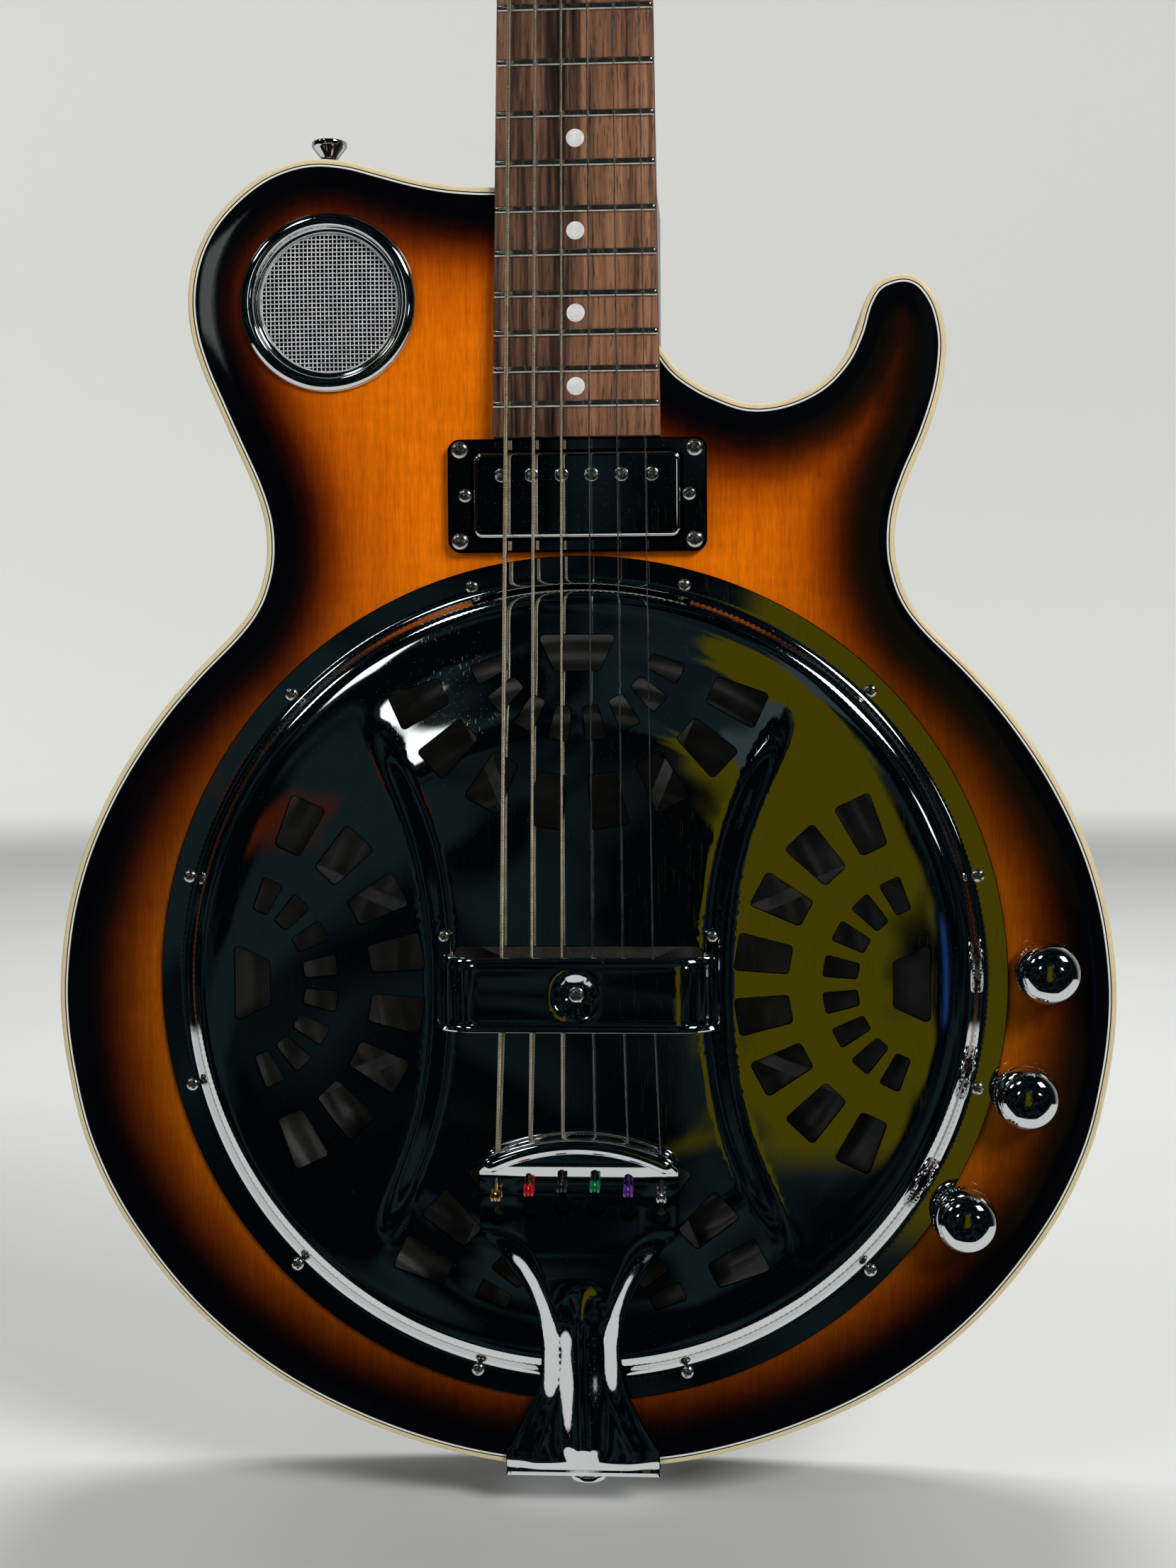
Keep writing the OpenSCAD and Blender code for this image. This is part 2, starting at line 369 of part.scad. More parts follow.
// ---------- tuners ----------
worm_d = 7.7;
module tuner_housings() color("silver") hf() for (s=[-1,1],v=post_v) translate([s*post_x,v,-head_t]) difference() {
    union() { translate([-8,-7.5,-13]) cube([16,19.5,13]); }
    translate([0,0,-11]) cylinder(r=3.06,h=14,$fn=40);
    translate([0,0,-9.4]) cylinder(r=5.6,h=5.8,$fn=48);
    translate([0,worm_d,-6.5]) rotate([0,90,0]) { translate([0,0,-4.8]) cylinder(r=2.5,h=9.6,$fn=32); translate([0,0,s>0?-6:-20]) cylinder(r=1.66,h=26,$fn=32); }
}
module tuner_bushings() color("silver") hf() for (s=[-1,1],v=post_v) translate([s*post_x,v,0]) difference() {
    union() { translate([0,0,-head_t]) cylinder(r=4.55,h=head_t+1,$fn=40); cylinder(r=5.8,h=2.2,$fn=6); cylinder(r=6.6,h=0.8,$fn=40); }
    translate([0,0,-head_t-1]) cylinder(r=3.06,h=30,$fn=40); }
module tuner_post(i) color("gainsboro") hf() translate([post_s(i)*post_x,post_v[post_i(i)],0]) difference() {
    union() { translate([0,0,-head_t-10.8]) cylinder(r=3,h=head_t+10.8+6,$fn=40); translate([0,0,6]) cylinder(r=2.6,h=8,$fn=40);
        translate([0,0,13]) cylinder(r=3,h=4,$fn=40); translate([0,0,17]) cylinder(r1=3,r2=2.2,h=0.8,$fn=40);
        translate([0,0,7.5]) cylinder(r=3.6,h=3.4,$fn=40);
        translate([0,0,-head_t-9]) cylinder(r=5.2,h=5,$fn=48); }
    translate([-5,0,14.6]) rotate([0,90,0]) cylinder(r=0.8,h=10,$fn=20); }
module tuner_key(i) { s=post_s(i); color("gainsboro") hf() translate([s*post_x,post_v[post_i(i)]+worm_d,-head_t-6.5]) rotate([0,s*90,0]) {
    translate([0,0,-5.6]) cylinder(r=1.6,h=24,$fn=32);
    translate([0,0,-4.6]) cylinder(r=2.2,h=9.2,$fn=32);
    translate([0,0,10]) cylinder(r=3,h=5,$fn=40);
    translate([0,0,14]) difference() { intersection() { translate([-3.4,-8.6,0]) cube([6.8,17.2,16]); translate([0,0,7.6]) rotate([0,90,0]) cylinder(r=8.6,h=12,center=true,$fn=48); }
        translate([0,0,30]) cube([20,20,20],center=true); } } }
module tuner_post_1() tuner_post(5);
module tuner_post_2() tuner_post(4);
module tuner_post_3() tuner_post(3);
module tuner_post_4() tuner_post(2);
module tuner_post_5() tuner_post(1);
module tuner_post_6() tuner_post(0);
module tuner_key_1() tuner_key(5);
module tuner_key_2() tuner_key(4);
module tuner_key_3() tuner_key(3);
module tuner_key_4() tuner_key(2);
module tuner_key_5() tuner_key(1);
module tuner_key_6() tuner_key(0);

// ---------- controls ----------
module potentiometers() color("gray") pf() for (k=knob_pos) translate([k[0],k[1],0]) difference() {
    union() { translate([0,0,-top_t-9]) cylinder(r=8,h=9,$fn=48); translate([0,0,-top_t-1]) cylinder(r=3.6,h=top_t+4,$fn=40);
        cylinder(r=5.8,h=2,$fn=6);
        translate([-5,-12,-top_t-8]) cube([10,6,1.2]); }
    translate([0,0,-top_t-8]) cylinder(r=3.06,h=30,$fn=40);
    translate([0,0,-top_t-8]) cylinder(r=6,h=3,$fn=40); }
module pot_shaft(k) color("gainsboro") pf() translate([k[0],k[1],0]) {
    translate([0,0,-top_t-7.5]) cylinder(r=3,h=top_t+7.5+15,$fn=40); translate([0,0,-top_t-7.8]) cylinder(r=5.6,h=2.4,$fn=40); }
module knob(k) color("silver") pf() translate([k[0],k[1],0]) rotate_extrude($fn=72)
    polygon([[3.02,5],[8.2,5],[8.2,1.8],[knob_r,1.8],[knob_r,10.5],[9.9,13],[8.6,15.2],[6.4,16.9],[3.4,knob_h-0.25],[0,knob_h],[0,15.2],[3.02,15.2]]);
module knob_volume() knob(knob_pos[0]);
module knob_tone() knob(knob_pos[1]);
module knob_blend() knob(knob_pos[2]);
module pot_shaft_volume() pot_shaft(knob_pos[0]);
module pot_shaft_tone() pot_shaft(knob_pos[1]);
module pot_shaft_blend() pot_shaft(knob_pos[2]);
module output_jack() color("silver") jack_frame() difference() {
    union() { translate([0,0,-31]) cylinder(r=5,h=33.6,$fn=48); translate([0,0,-24]) cylinder(r=7.5,h=20,$fn=48); translate([0,0,1.9]) cylinder(r=7,h=2.2,$fn=6); }
    translate([0,0,-29.5]) cylinder(r=3.25,h=40,$fn=48); }
module jack_plate() color("silver") difference() {
    jack_frame() translate([0,0,-2]) linear_extrude(3.9) difference() { rrect(22,38,4); circle(5.1); for (s=[-1,1]) translate([0,s*14.5]) circle(1.5,$fn=20); }
    pf() slab(bz-5,5) outline(0);
}
function e2(a,r) = [r*cos(a),r*sin(a)];
module cable(pts,r) { n=len(pts)-1; for (i=[0:n-1]) { d=(pts[i+1]-pts[i])/norm(pts[i+1]-pts[i])*r*0.6;
    rod(pts[i]+(i==0?0:1)*d,pts[i+1]-(i==n-1?0:1)*d,r); } for (i=[1:n-1]) translate(pts[i]) sphere(r=r*1.2,$fn=24); }
module wiring() color("dimgray") pf() {
    cable([[30,156,-13.55],[30,156,-19],[32,150,-24],[62,150,-28],[104,118,-28],[137,74,-28],[150,34,-28],[152,14,-24],[153,7,-19],[153,7,-13.55]],1.2);
    cable([[156,-2,-13.55],[156,-2,-18],[156,-14,-21],[150,-31,-18],[150,-31,-13.55]],0.8);
    cable([[147,-43,-13.55],[147,-43,-18],[141,-58,-21],[131,-73,-18],[131,-73,-13.55]],0.8);
    cable([[127,-84,-13.55],[127,-84,-17],[125.5,-91,-18.5],[124.5,-95.5,-19.5],[124.5,-95.5,-22.4]],0.8);
}

body_top();
body_back();
body_sides();
linings();
neck_block();
tail_block();
soundwell();
body_braces();
binding_top();
binding_back();
purfling_white();
neck();
truss_rod();
fretboard();
frets();
position_dots();
nut();
truss_rod_cover();
cover_plate();
cover_plate_screws();
palm_rest();
resonator_cone();
spider_bridge();
saddle();
tension_screw();
tailpiece();
ball_ends();
strap_buttons();
pickup_ring();
pickup_cover();
pickup_coils();
pickup_screws();
soundhole_ring();
soundhole_mesh();
strings_wound();
strings_plain();
tuner_housings();
tuner_bushings();
potentiometers();
output_jack();
jack_plate();
wiring();
knob_volume();
knob_tone();
knob_blend();
pot_shaft_volume();
pot_shaft_tone();
pot_shaft_blend();
tuner_post_1();
tuner_post_2();
tuner_post_3();
tuner_post_4();
tuner_post_5();
tuner_post_6();
tuner_key_1();
tuner_key_2();
tuner_key_3();
tuner_key_4();
tuner_key_5();
tuner_key_6();
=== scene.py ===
import bpy, bmesh, math
import numpy as np
from mathutils import Matrix, Vector
from mathutils.geometry import delaunay_2d_cdt


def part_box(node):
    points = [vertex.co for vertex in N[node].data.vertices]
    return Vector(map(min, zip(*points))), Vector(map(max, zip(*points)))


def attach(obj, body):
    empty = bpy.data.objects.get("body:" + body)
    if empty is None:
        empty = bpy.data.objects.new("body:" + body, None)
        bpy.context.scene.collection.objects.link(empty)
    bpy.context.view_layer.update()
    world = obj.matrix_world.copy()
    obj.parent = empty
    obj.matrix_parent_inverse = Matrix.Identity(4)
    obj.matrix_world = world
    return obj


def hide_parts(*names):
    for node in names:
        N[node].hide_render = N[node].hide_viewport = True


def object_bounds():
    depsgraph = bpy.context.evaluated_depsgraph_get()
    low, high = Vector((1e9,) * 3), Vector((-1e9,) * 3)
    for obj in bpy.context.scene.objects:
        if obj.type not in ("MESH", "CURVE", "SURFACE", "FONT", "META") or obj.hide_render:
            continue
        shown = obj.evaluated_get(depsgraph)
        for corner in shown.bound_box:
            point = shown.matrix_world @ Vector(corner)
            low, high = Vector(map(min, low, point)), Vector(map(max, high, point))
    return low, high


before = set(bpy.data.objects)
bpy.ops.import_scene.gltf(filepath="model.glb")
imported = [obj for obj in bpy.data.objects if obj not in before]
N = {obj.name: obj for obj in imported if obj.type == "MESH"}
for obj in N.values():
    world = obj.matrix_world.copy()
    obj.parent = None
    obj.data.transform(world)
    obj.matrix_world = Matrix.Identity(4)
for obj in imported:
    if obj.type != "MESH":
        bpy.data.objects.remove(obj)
cad_lo, cad_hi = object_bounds()
ROOT = "guitar"

# ------------------------------------------------------------------ frames (mm -> m)
MM = 0.001
_lo, _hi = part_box("cover_plate")
ZC = (_lo.z + _hi.z) / 2 / MM
HALF = -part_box("body_top")[0].y / MM
PF = Matrix.Scale(MM, 4) @ Matrix.Translation((0, -HALF, ZC)) @ Matrix.Rotation(math.pi / 2, 4, 'X')
TILT, BEND, BH = math.radians(2.1), 182.3, 6.4
NUT_Y = (648 - BEND) / math.cos(TILT)
NF = PF @ Matrix.Translation((0, BEND, BH)) @ Matrix.Rotation(-TILT, 4, 'X')
HF = NF @ Matrix.Translation((0, NUT_Y + 5, -3.5)) @ Matrix.Rotation(math.radians(-13), 4, 'X')
DEPTH = 2 * HALF


def at(M, x, y, z=0.0):
    return M @ Matrix.Translation((x, y, z))


# ------------------------------------------------------------------ camera
def set_camera():
    cx, ch, cz = 47.9, 724.9, 95.9
    yaw, pitch, roll, f = -0.06195, 0.04047, -0.00572, 3048.0
    fw = Vector((math.sin(yaw) * math.cos(pitch), math.cos(yaw) * math.cos(pitch), -math.sin(pitch)))
    r = Vector((math.cos(yaw), -math.sin(yaw), 0)).normalized()
    u = r.cross(fw).normalized()
    r2 = r * math.cos(roll) + u * math.sin(roll)
    u2 = -r * math.sin(roll) + u * math.cos(roll)
    cam = bpy.data.cameras.new("camera")
    ob = bpy.data.objects.new("camera", cam)
    bpy.context.scene.collection.objects.link(ob)
    m = Matrix((( r2.x, u2.x, -fw.x, 0), (r2.y, u2.y, -fw.y, 0), (r2.z, u2.z, -fw.z, 0), (0, 0, 0, 1)))
    ob.matrix_world = Matrix.Translation((cx * MM, (-HALF - ch) * MM, (ZC + cz) * MM)) @ m
    cam.sensor_width = 36
    cam.lens = f / 2212 * 36
    cam.clip_start, cam.clip_end = 0.02, 50
    bpy.context.scene.camera = ob


set_camera()


# ------------------------------------------------------------------ node helpers
class NT:
    def __init__(self, tree):
        self.t = tree

    def n(self, kind, **kw):
        nd = self.t.nodes.new("ShaderNode" + kind)
        for k, v in kw.items():
            setattr(nd, k, v)
        return nd

    def link(self, a, b):
        self.t.links.new(a, b)

    def val(self, sock, v):
        if isinstance(v, bpy.types.NodeSocket):
            self.link(v, sock)
        else:
            sock.default_value = v

    def math(self, op, a, b=None, c=None, clamp=False):
        nd = self.n("Math", operation=op, use_clamp=clamp)
        self.val(nd.inputs[0], a)
        if b is not None:
            self.val(nd.inputs[1], b)
        if c is not None:
            self.val(nd.inputs[2], c)
        return nd.outputs[0]

    def mapr(self, v, a, b, c=0.0, d=1.0, kind="SMOOTHSTEP"):
        nd = self.n("MapRange", interpolation_type=kind)
        self.val(nd.inputs[0], v)
        for i, x in enumerate((a, b, c, d)):
            nd.inputs[1 + i].default_value = x
        return nd.outputs[0]

    def mix(self, f, a, b, blend="MIX"):
        nd = self.n("Mix", data_type="RGBA", blend_type=blend)
        self.val(nd.inputs[0], f)
        self.val(nd.inputs[6], a if isinstance(a, bpy.types.NodeSocket) else (*a, 1)[:4])
        self.val(nd.inputs[7], b if isinstance(b, bpy.types.NodeSocket) else (*b, 1)[:4])
        return nd.outputs[2]

    def ramp(self, v, stops, kind="LINEAR"):
        nd = self.n("ValToRGB")
        nd.color_ramp.interpolation = kind
        els = nd.color_ramp.elements
        while len(els) < len(stops):
            els.new(0.5)
        for e, (p, c) in zip(els, stops):
            e.position = p
            e.color = (*c, 1)[:4]
        self.val(nd.inputs[0], v)
        return nd.outputs[0]

    def coords(self, scale=(1, 1, 1), loc=(0, 0, 0), rot=(0, 0, 0)):
        tc = self.n("TexCoord")
        mp = self.n("Mapping")
        self.link(tc.outputs["Object"], mp.inputs[0])
        mp.inputs["Location"].default_value = loc
        mp.inputs["Rotation"].default_value = rot
        mp.inputs["Scale"].default_value = scale
        return mp.outputs[0]

    def noise(self, vec, scale=5.0, detail=2.0, rough=0.5, dist=0.0):
        nd = self.n("TexNoise")
        self.link(vec, nd.inputs["Vector"])
        nd.inputs["Scale"].default_value = scale
        nd.inputs["Detail"].default_value = detail
        nd.inputs["Roughness"].default_value = rough
        nd.inputs["Distortion"].default_value = dist
        return nd.outputs[0]

    def bump(self, h, strength=0.2, dist=0.001, normal=None):
        nd = self.n("Bump")
        nd.inputs["Strength"].default_value = strength
        nd.inputs["Distance"].default_value = dist
        self.link(h, nd.inputs["Height"])
        if normal is not None:
            self.link(normal, nd.inputs["Normal"])
        return nd.outputs[0]


def material(name, **kw):
    m = bpy.data.materials.new(name)
    m.use_nodes = True
    t = m.node_tree
    t.nodes.clear()
    nt = NT(t)
    out = nt.n("OutputMaterial")
    b = nt.n("BsdfPrincipled")
    nt.link(b.outputs[0], out.inputs[0])
    for k, v in kw.items():
        b.inputs[k].default_value = v
    return m, nt, b


def C(b, name):
    return b.inputs[name]


# ------------------------------------------------------------------ materials
def mat_chrome(name="chrome", base=(0.80, 0.83, 0.84), rough=0.035, wear=1.0, haze=0.05):
    m, nt, b = material(name, Metallic=1.0)
    v = nt.coords()
    smear = nt.mapr(nt.noise(v, 38, 4, 0.6, 0.5), 0.42, 0.75, 0, 1)
    dust = nt.mapr(nt.noise(v, 2600, 1, 0.5), 0.71, 0.80, 0, 1)
    scr = nt.noise(nt.coords((3000, 3000, 60), rot=(0.3, 0.5, 0.2)), 1, 2, 0.6)
    scr = nt.mapr(scr, 0.66, 0.72, 0, 1)
    r = nt.math("MULTIPLY_ADD", smear, haze * wear, rough)
    r = nt.math("MULTIPLY_ADD", dust, 0.35 * wear, r)
    r = nt.math("MULTIPLY_ADD", scr, 0.05 * wear, r, True)
    nt.link(r, C(b, "Roughness"))
    col = nt.mix(nt.math("MULTIPLY", smear, 0.35), base, tuple(0.86 * c for c in base))
    nt.link(col, C(b, "Base Color"))
    wav = nt.noise(v, 24, 1, 0.4)
    n1 = nt.bump(wav, 0.25, 0.0004)
    n2 = nt.bump(scr, 0.05, 0.00003, n1)
    nt.link(n2, C(b, "Normal"))
    return m


def mat_steel(name, base, rough, lay=(40, 40, 900), strength=0.12):
    m, nt, b = material(name, Metallic=1.0)
    g = nt.noise(nt.coords(lay), 1, 3, 0.6)
    f = nt.noise(nt.coords(), 300, 3, 0.6)
    nt.link(nt.mix(nt.mapr(f, 0.35, 0.7), base, tuple(0.72 * c for c in base)), C(b, "Base Color"))
    nt.link(nt.math("MULTIPLY_ADD", g, 0.22, rough - 0.08, True), C(b, "Roughness"))
    nt.link(nt.bump(g, strength, 0.00006), C(b, "Normal"))
    return m


def mat_spun(name="spun_aluminium"):
    m, nt, b = material(name, Metallic=1.0)
    tc = nt.n("TexCoord")
    sub = nt.n("VectorMath", operation="SUBTRACT")
    nt.link(tc.outputs["Object"], sub.inputs[0])
    sub.inputs[1].default_value = (0, 0, ZC * MM)
    fl = nt.n("VectorMath", operation="MULTIPLY")
    nt.link(sub.outputs[0], fl.inputs[0])
    fl.inputs[1].default_value = (1, 0, 1)
    ln = nt.n("VectorMath", operation="LENGTH")
    nt.link(fl.outputs[0], ln.inputs[0])
    rad = ln.outputs["Value"]
    cmb = nt.n("CombineXYZ")
    nt.link(rad, cmb.inputs[0])
    fine = nt.noise(cmb.outputs[0], 2600, 3, 0.7)
    coarse = nt.noise(cmb.outputs[0], 220, 2, 0.6)
    cloud = nt.noise(nt.coords(), 60, 3, 0.6)
    nt.link(nt.ramp(nt.math("MULTIPLY_ADD", fine, 0.5, nt.math("MULTIPLY", cloud, 0.5)),
                    [(0.3, (0.22, 0.215, 0.21)), (0.5, (0.36, 0.35, 0.345)), (0.72, (0.55, 0.54, 0.53))]), C(b, "Base Color"))
    nt.link(nt.math("MULTIPLY_ADD", fine, 0.25, 0.26, True), C(b, "Roughness"))
    n1 = nt.bump(fine, 0.35, 0.00008)
    nt.link(nt.bump(coarse, 0.3, 0.0004, n1), C(b, "Normal"))
    return m


def mat_burst(name="sunburst_lacquer_and_painted_light", back=False):
    m, nt, b = material(name, Roughness=0.38)
    C(b, "Specular IOR Level").default_value = 0.04
    C(b, "Coat Weight").default_value = 1.0
    C(b, "Coat Roughness").default_value = 0.035
    C(b, "Coat IOR").default_value = 1.52
    at_ = nt.n("Attribute", attribute_name="edge_d", attribute_type="GEOMETRY")
    d = at_.outputs["Fac"]
    warp = nt.math("MULTIPLY", nt.math("SUBTRACT", nt.noise(nt.coords(), 26, 3, 0.6), 0.5), 5.0)
    t = nt.math("DIVIDE", nt.math("ADD", d, warp), 60.0, clamp=True)
    if back:
        stops = [(0.0, (0.002, 0.002, 0.003)), (0.22, (0.003, 0.002, 0.002)), (0.32, (0.018, 0.004, 0.002)),
                 (0.48, (0.075, 0.016, 0.004)), (0.70, (0.17, 0.050, 0.009)), (1.0, (0.24, 0.085, 0.015))]
    else:
        stops = [(0.0, (0.0010, 0.0014, 0.0026)), (0.17, (0.0014, 0.0012, 0.002)), (0.235, (0.006, 0.0018, 0.0012)),
                 (0.29, (0.026, 0.004, 0.0007)), (0.35, (0.062, 0.011, 0.0005)), (0.43, (0.125, 0.023, 0.0007)),
                 (0.53, (0.235, 0.052, 0.001)), (0.70, (0.335, 0.080, 0.0014)), (1.0, (0.43, 0.108, 0.0022))]
    col = nt.ramp(t, stops)
    if not back:
        # painted light: from the waist upwards the top takes brighter stops by height, painting the stronger light on
        # the upper bout into its colour
        painted_light_stops = [(0.0, (0.0010, 0.0014, 0.0026)), (0.17, (0.0014, 0.0012, 0.002)), (0.235, (0.012, 0.002, 0.0012)),
                  (0.29, (0.050, 0.006, 0.0007)), (0.34, (0.125, 0.018, 0.0005)), (0.40, (0.235, 0.036, 0.0007)),
                  (0.48, (0.44, 0.078, 0.001)), (0.60, (0.61, 0.118, 0.0014)), (0.85, (0.78, 0.165, 0.0018))]
        sp = nt.n("SeparateXYZ")
        nt.link(nt.n("TexCoord").outputs["Object"], sp.inputs[0])
        col = nt.mix(nt.mapr(sp.outputs[2], (ZC + 70) * MM, (ZC + 150) * MM), col, nt.ramp(t, painted_light_stops))
    # grain: fine flecks and faint wider bands running up the body
    fleck = nt.noise(nt.coords((1500, 1500, 130)), 1, 3, 0.65)
    silk = nt.noise(nt.coords((420, 420, 16)), 1, 4, 0.6, 0.4)
    ripple = nt.noise(nt.coords((70, 70, 260)), 1, 2, 0.5)
    g = nt.math("MULTIPLY_ADD", fleck, 0.5, nt.math("MULTIPLY_ADD", silk, 0.35, nt.math("MULTIPLY", ripple, 0.15)))
    shade = nt.mapr(g, 0.36, 0.62, 0.66, 1.12, "LINEAR")
    cmb = nt.n("CombineXYZ")
    for i in range(3):
        nt.link(shade, cmb.inputs[i])
    nt.link(nt.mix(1.0, col, cmb.outputs[0], "MULTIPLY"), C(b, "Base Color"))
    nt.link(nt.math("MULTIPLY_ADD", fleck, 0.25, 0.26, True), C(b, "Roughness"))
    nt.link(nt.bump(g, 0.10, 0.00005), C(b, "Normal"))
    peel = nt.noise(nt.coords(), 240, 2, 0.5)
    nt.link(nt.bump(peel, 0.06, 0.00008), C(b, "Coat Normal"))
    return m


def mat_lacquer(name, base, dark=None, scale=(60, 60, 900), coat=1.0, rough=0.4):
    m, nt, b = material(name)
    C(b, "Specular IOR Level").default_value = 0.08
    C(b, "Coat Weight").default_value = coat
    C(b, "Coat Roughness").default_value = 0.05
    g = nt.noise(nt.coords(scale), 1, 4, 0.6, 0.3)
    f = nt.noise(nt.coords(tuple(s * 6 for s in scale)), 1, 2, 0.6)
    dark = dark or tuple(c * 0.55 for c in base)
    nt.link(nt.mix(nt.mapr(nt.math("MULTIPLY_ADD", f, 0.35, nt.math("MULTIPLY", g, 0.65)), 0.38, 0.64), base, dark), C(b, "Base Color"))
    nt.link(nt.math("MULTIPLY_ADD", g, 0.2, rough - 0.1, True), C(b, "Roughness"))
    nt.link(nt.bump(f, 0.12, 0.00006), C(b, "Normal"))
    peel = nt.noise(nt.coords(), 260, 2, 0.5)
    nt.link(nt.bump(peel, 0.05, 0.00008), C(b, "Coat Normal"))
    return m


def mat_rawwood(name, a=(0.45, 0.27, 0.13), d=(0.27, 0.14, 0.06), scale=(40, 300, 12)):
    m, nt, b = material(name, Roughness=0.7)
    g = nt.noise(nt.coords(scale), 1, 5, 0.65, 0.6)
    p = nt.noise(nt.coords(tuple(s * 7 for s in scale)), 1, 2, 0.6)
    nt.link(nt.ramp(nt.math("MULTIPLY_ADD", p, 0.3, nt.math("MULTIPLY", g, 0.7)), [(0.35, d), (0.65, a)]), C(b, "Base Color"))
    nt.link(nt.math("MULTIPLY_ADD", p, 0.2, 0.6, True), C(b, "Roughness"))
    nt.link(nt.bump(p, 0.25, 0.0001), C(b, "Normal"))
    return m


def mat_rosewood(name="rosewood"):
    m, nt, b = material(name)
    C(b, "Specular IOR Level").default_value = 0.45
    wide = nt.noise(nt.coords((62, 62, 1.4)), 1, 3, 0.6, 0.8)
    streak = nt.noise(nt.coords((420, 420, 5)), 1, 4, 0.65, 0.5)
    pores = nt.noise(nt.coords((2600, 2600, 105)), 1, 2, 0.6)
    s = nt.math("MULTIPLY_ADD", wide, 0.62, nt.math("MULTIPLY", streak, 0.42))
    col = nt.ramp(s, [(0.40, (0.010, 0.006, 0.005)), (0.465, (0.048, 0.025, 0.017)), (0.52, (0.135, 0.068, 0.042)),
                      (0.58, (0.240, 0.110, 0.058)), (0.68, (0.36, 0.190, 0.105))])
    pm = nt.mapr(pores, 0.56, 0.66, 0, 1)
    col = nt.mix(nt.math("MULTIPLY", pm, 0.75), col, (0.012, 0.007, 0.006))
    nt.link(col, C(b, "Base Color"))
    nt.link(nt.math("MULTIPLY_ADD", pm, 0.25, 0.42, True), C(b, "Roughness"))
    inv = nt.math("SUBTRACT", 1.0, pm)
    nt.link(nt.bump(inv, 0.35, 0.00012), C(b, "Normal"))
    return m


def mat_plastic(name, base, rough=0.3, coat=0.3, var=0.12, scale=90):
    m, nt, b = material(name)
    C(b, "Coat Weight").default_value = coat
    C(b, "Coat Roughness").default_value = 0.08
    v = nt.coords()
    big, fine = nt.noise(v, scale, 3, 0.6), nt.noise(v, 1400, 2, 0.6)
    nt.link(nt.mix(nt.mapr(big, 0.35, 0.7), base, tuple(c * (1 - var) for c in base)), C(b, "Base Color"))
    nt.link(nt.math("MULTIPLY_ADD", fine, 0.12, rough - 0.06, True), C(b, "Roughness"))
    nt.link(nt.bump(fine, 0.05, 0.00005), C(b, "Normal"))
    return m


def mat_wound(name="wound_string"):
    m, nt, b = material(name, Metallic=1.0)
    tc = nt.n("TexCoord")
    w = nt.n("TexWave", wave_type="BANDS", bands_direction="Z", wave_profile="SIN")
    nt.link(tc.outputs["Object"], w.inputs[0])
    w.inputs["Scale"].default_value = 620
    w.inputs["Distortion"].default_value = 0.15
    f = nt.noise(nt.coords(), 160, 2, 0.6)
    nt.link(nt.mix(nt.mapr(f, 0.35, 0.7), (0.84, 0.75, 0.58), (0.70, 0.58, 0.40)), C(b, "Base Color"))
    nt.link(nt.math("MULTIPLY_ADD", w.outputs[1], 0.18, 0.24, True), C(b, "Roughness"))
    nt.link(nt.bump(w.outputs[1], 0.7, 0.00012), C(b, "Normal"))
    return m


M = {
    "chrome": mat_chrome(),
    "chrome_plate": mat_chrome("chrome_plate", rough=0.02, haze=0.03, wear=0.8),
    "nickel": mat_steel("nickel_frets", (0.74, 0.72, 0.67), 0.22, (900, 40, 40)),
    "screen": mat_steel("screen_wire", (0.93, 0.94, 0.96), 0.34, (500, 500, 500)),
    "steel": mat_steel("plain_steel", (0.62, 0.63, 0.64), 0.26, (900, 900, 60)),
    "screw": mat_steel("screw_nickel", (0.78, 0.77, 0.74), 0.20, (700, 700, 700)),
    "spun": mat_spun(),
    "cast": mat_steel("cast_aluminium", (0.52, 0.52, 0.53), 0.45, (240, 240, 240), 0.3),
    "burst": mat_burst(),
    "burst_back": mat_burst("back_lacquer", True),
    "side": mat_lacquer("side_lacquer", (0.007, 0.0035, 0.003), (0.0025, 0.002, 0.002), (300, 300, 12), rough=0.35),
    "neck": mat_lacquer("neck_lacquer", (0.105, 0.030, 0.012), (0.055, 0.014, 0.006), (260, 260, 7), coat=0.9),
    "black": mat_lacquer("black_lacquer", (0.0045, 0.0045, 0.005), (0.0025, 0.0025, 0.003), (60, 60, 60), rough=0.3),
    "cream": mat_plastic("cream_binding", (0.70, 0.59, 0.355), 0.28, 0.8, 0.10, 45),
    "white_line": mat_plastic("white_purfling", (0.74, 0.73, 0.68), 0.3, 0.9, 0.06),
    "rosewood": mat_rosewood(),
    "dot": mat_plastic("pearl_dots", (0.80, 0.81, 0.80), 0.25, 0.4, 0.16, 260),
    "bone": mat_plastic("bone_nut", (0.80, 0.74, 0.60), 0.38, 0.1, 0.10, 160),
    "maple": mat_rawwood("maple", (0.62, 0.42, 0.22), (0.46, 0.28, 0.13), (300, 40, 40)),
    "raw": mat_rawwood("inner_wood", (0.30, 0.135, 0.065), (0.17, 0.065, 0.03)),
    "wound": mat_wound(),
    "bobbin": mat_plastic("bobbin_black", (0.012, 0.012, 0.013), 0.45, 0.0, 0.3),
    "cable": mat_plastic("cable_grey", (0.10, 0.10, 0.105), 0.5, 0.0, 0.25),
}
M["screen"].node_tree.nodes["Principled BSDF"].inputs["Metallic"].default_value = 0.45
BALLS = [("brass", (0.72, 0.44, 0.13), 1.0, 0.22), ("red", (0.62, 0.012, 0.02), 0.55, 0.25), ("black", (0.02, 0.02, 0.022), 0.6, 0.3),
         ("green", (0.005, 0.28, 0.09), 0.55, 0.25), ("purple", (0.16, 0.05, 0.34), 0.55, 0.25), ("silver", (0.75, 0.75, 0.75), 1.0, 0.2)]


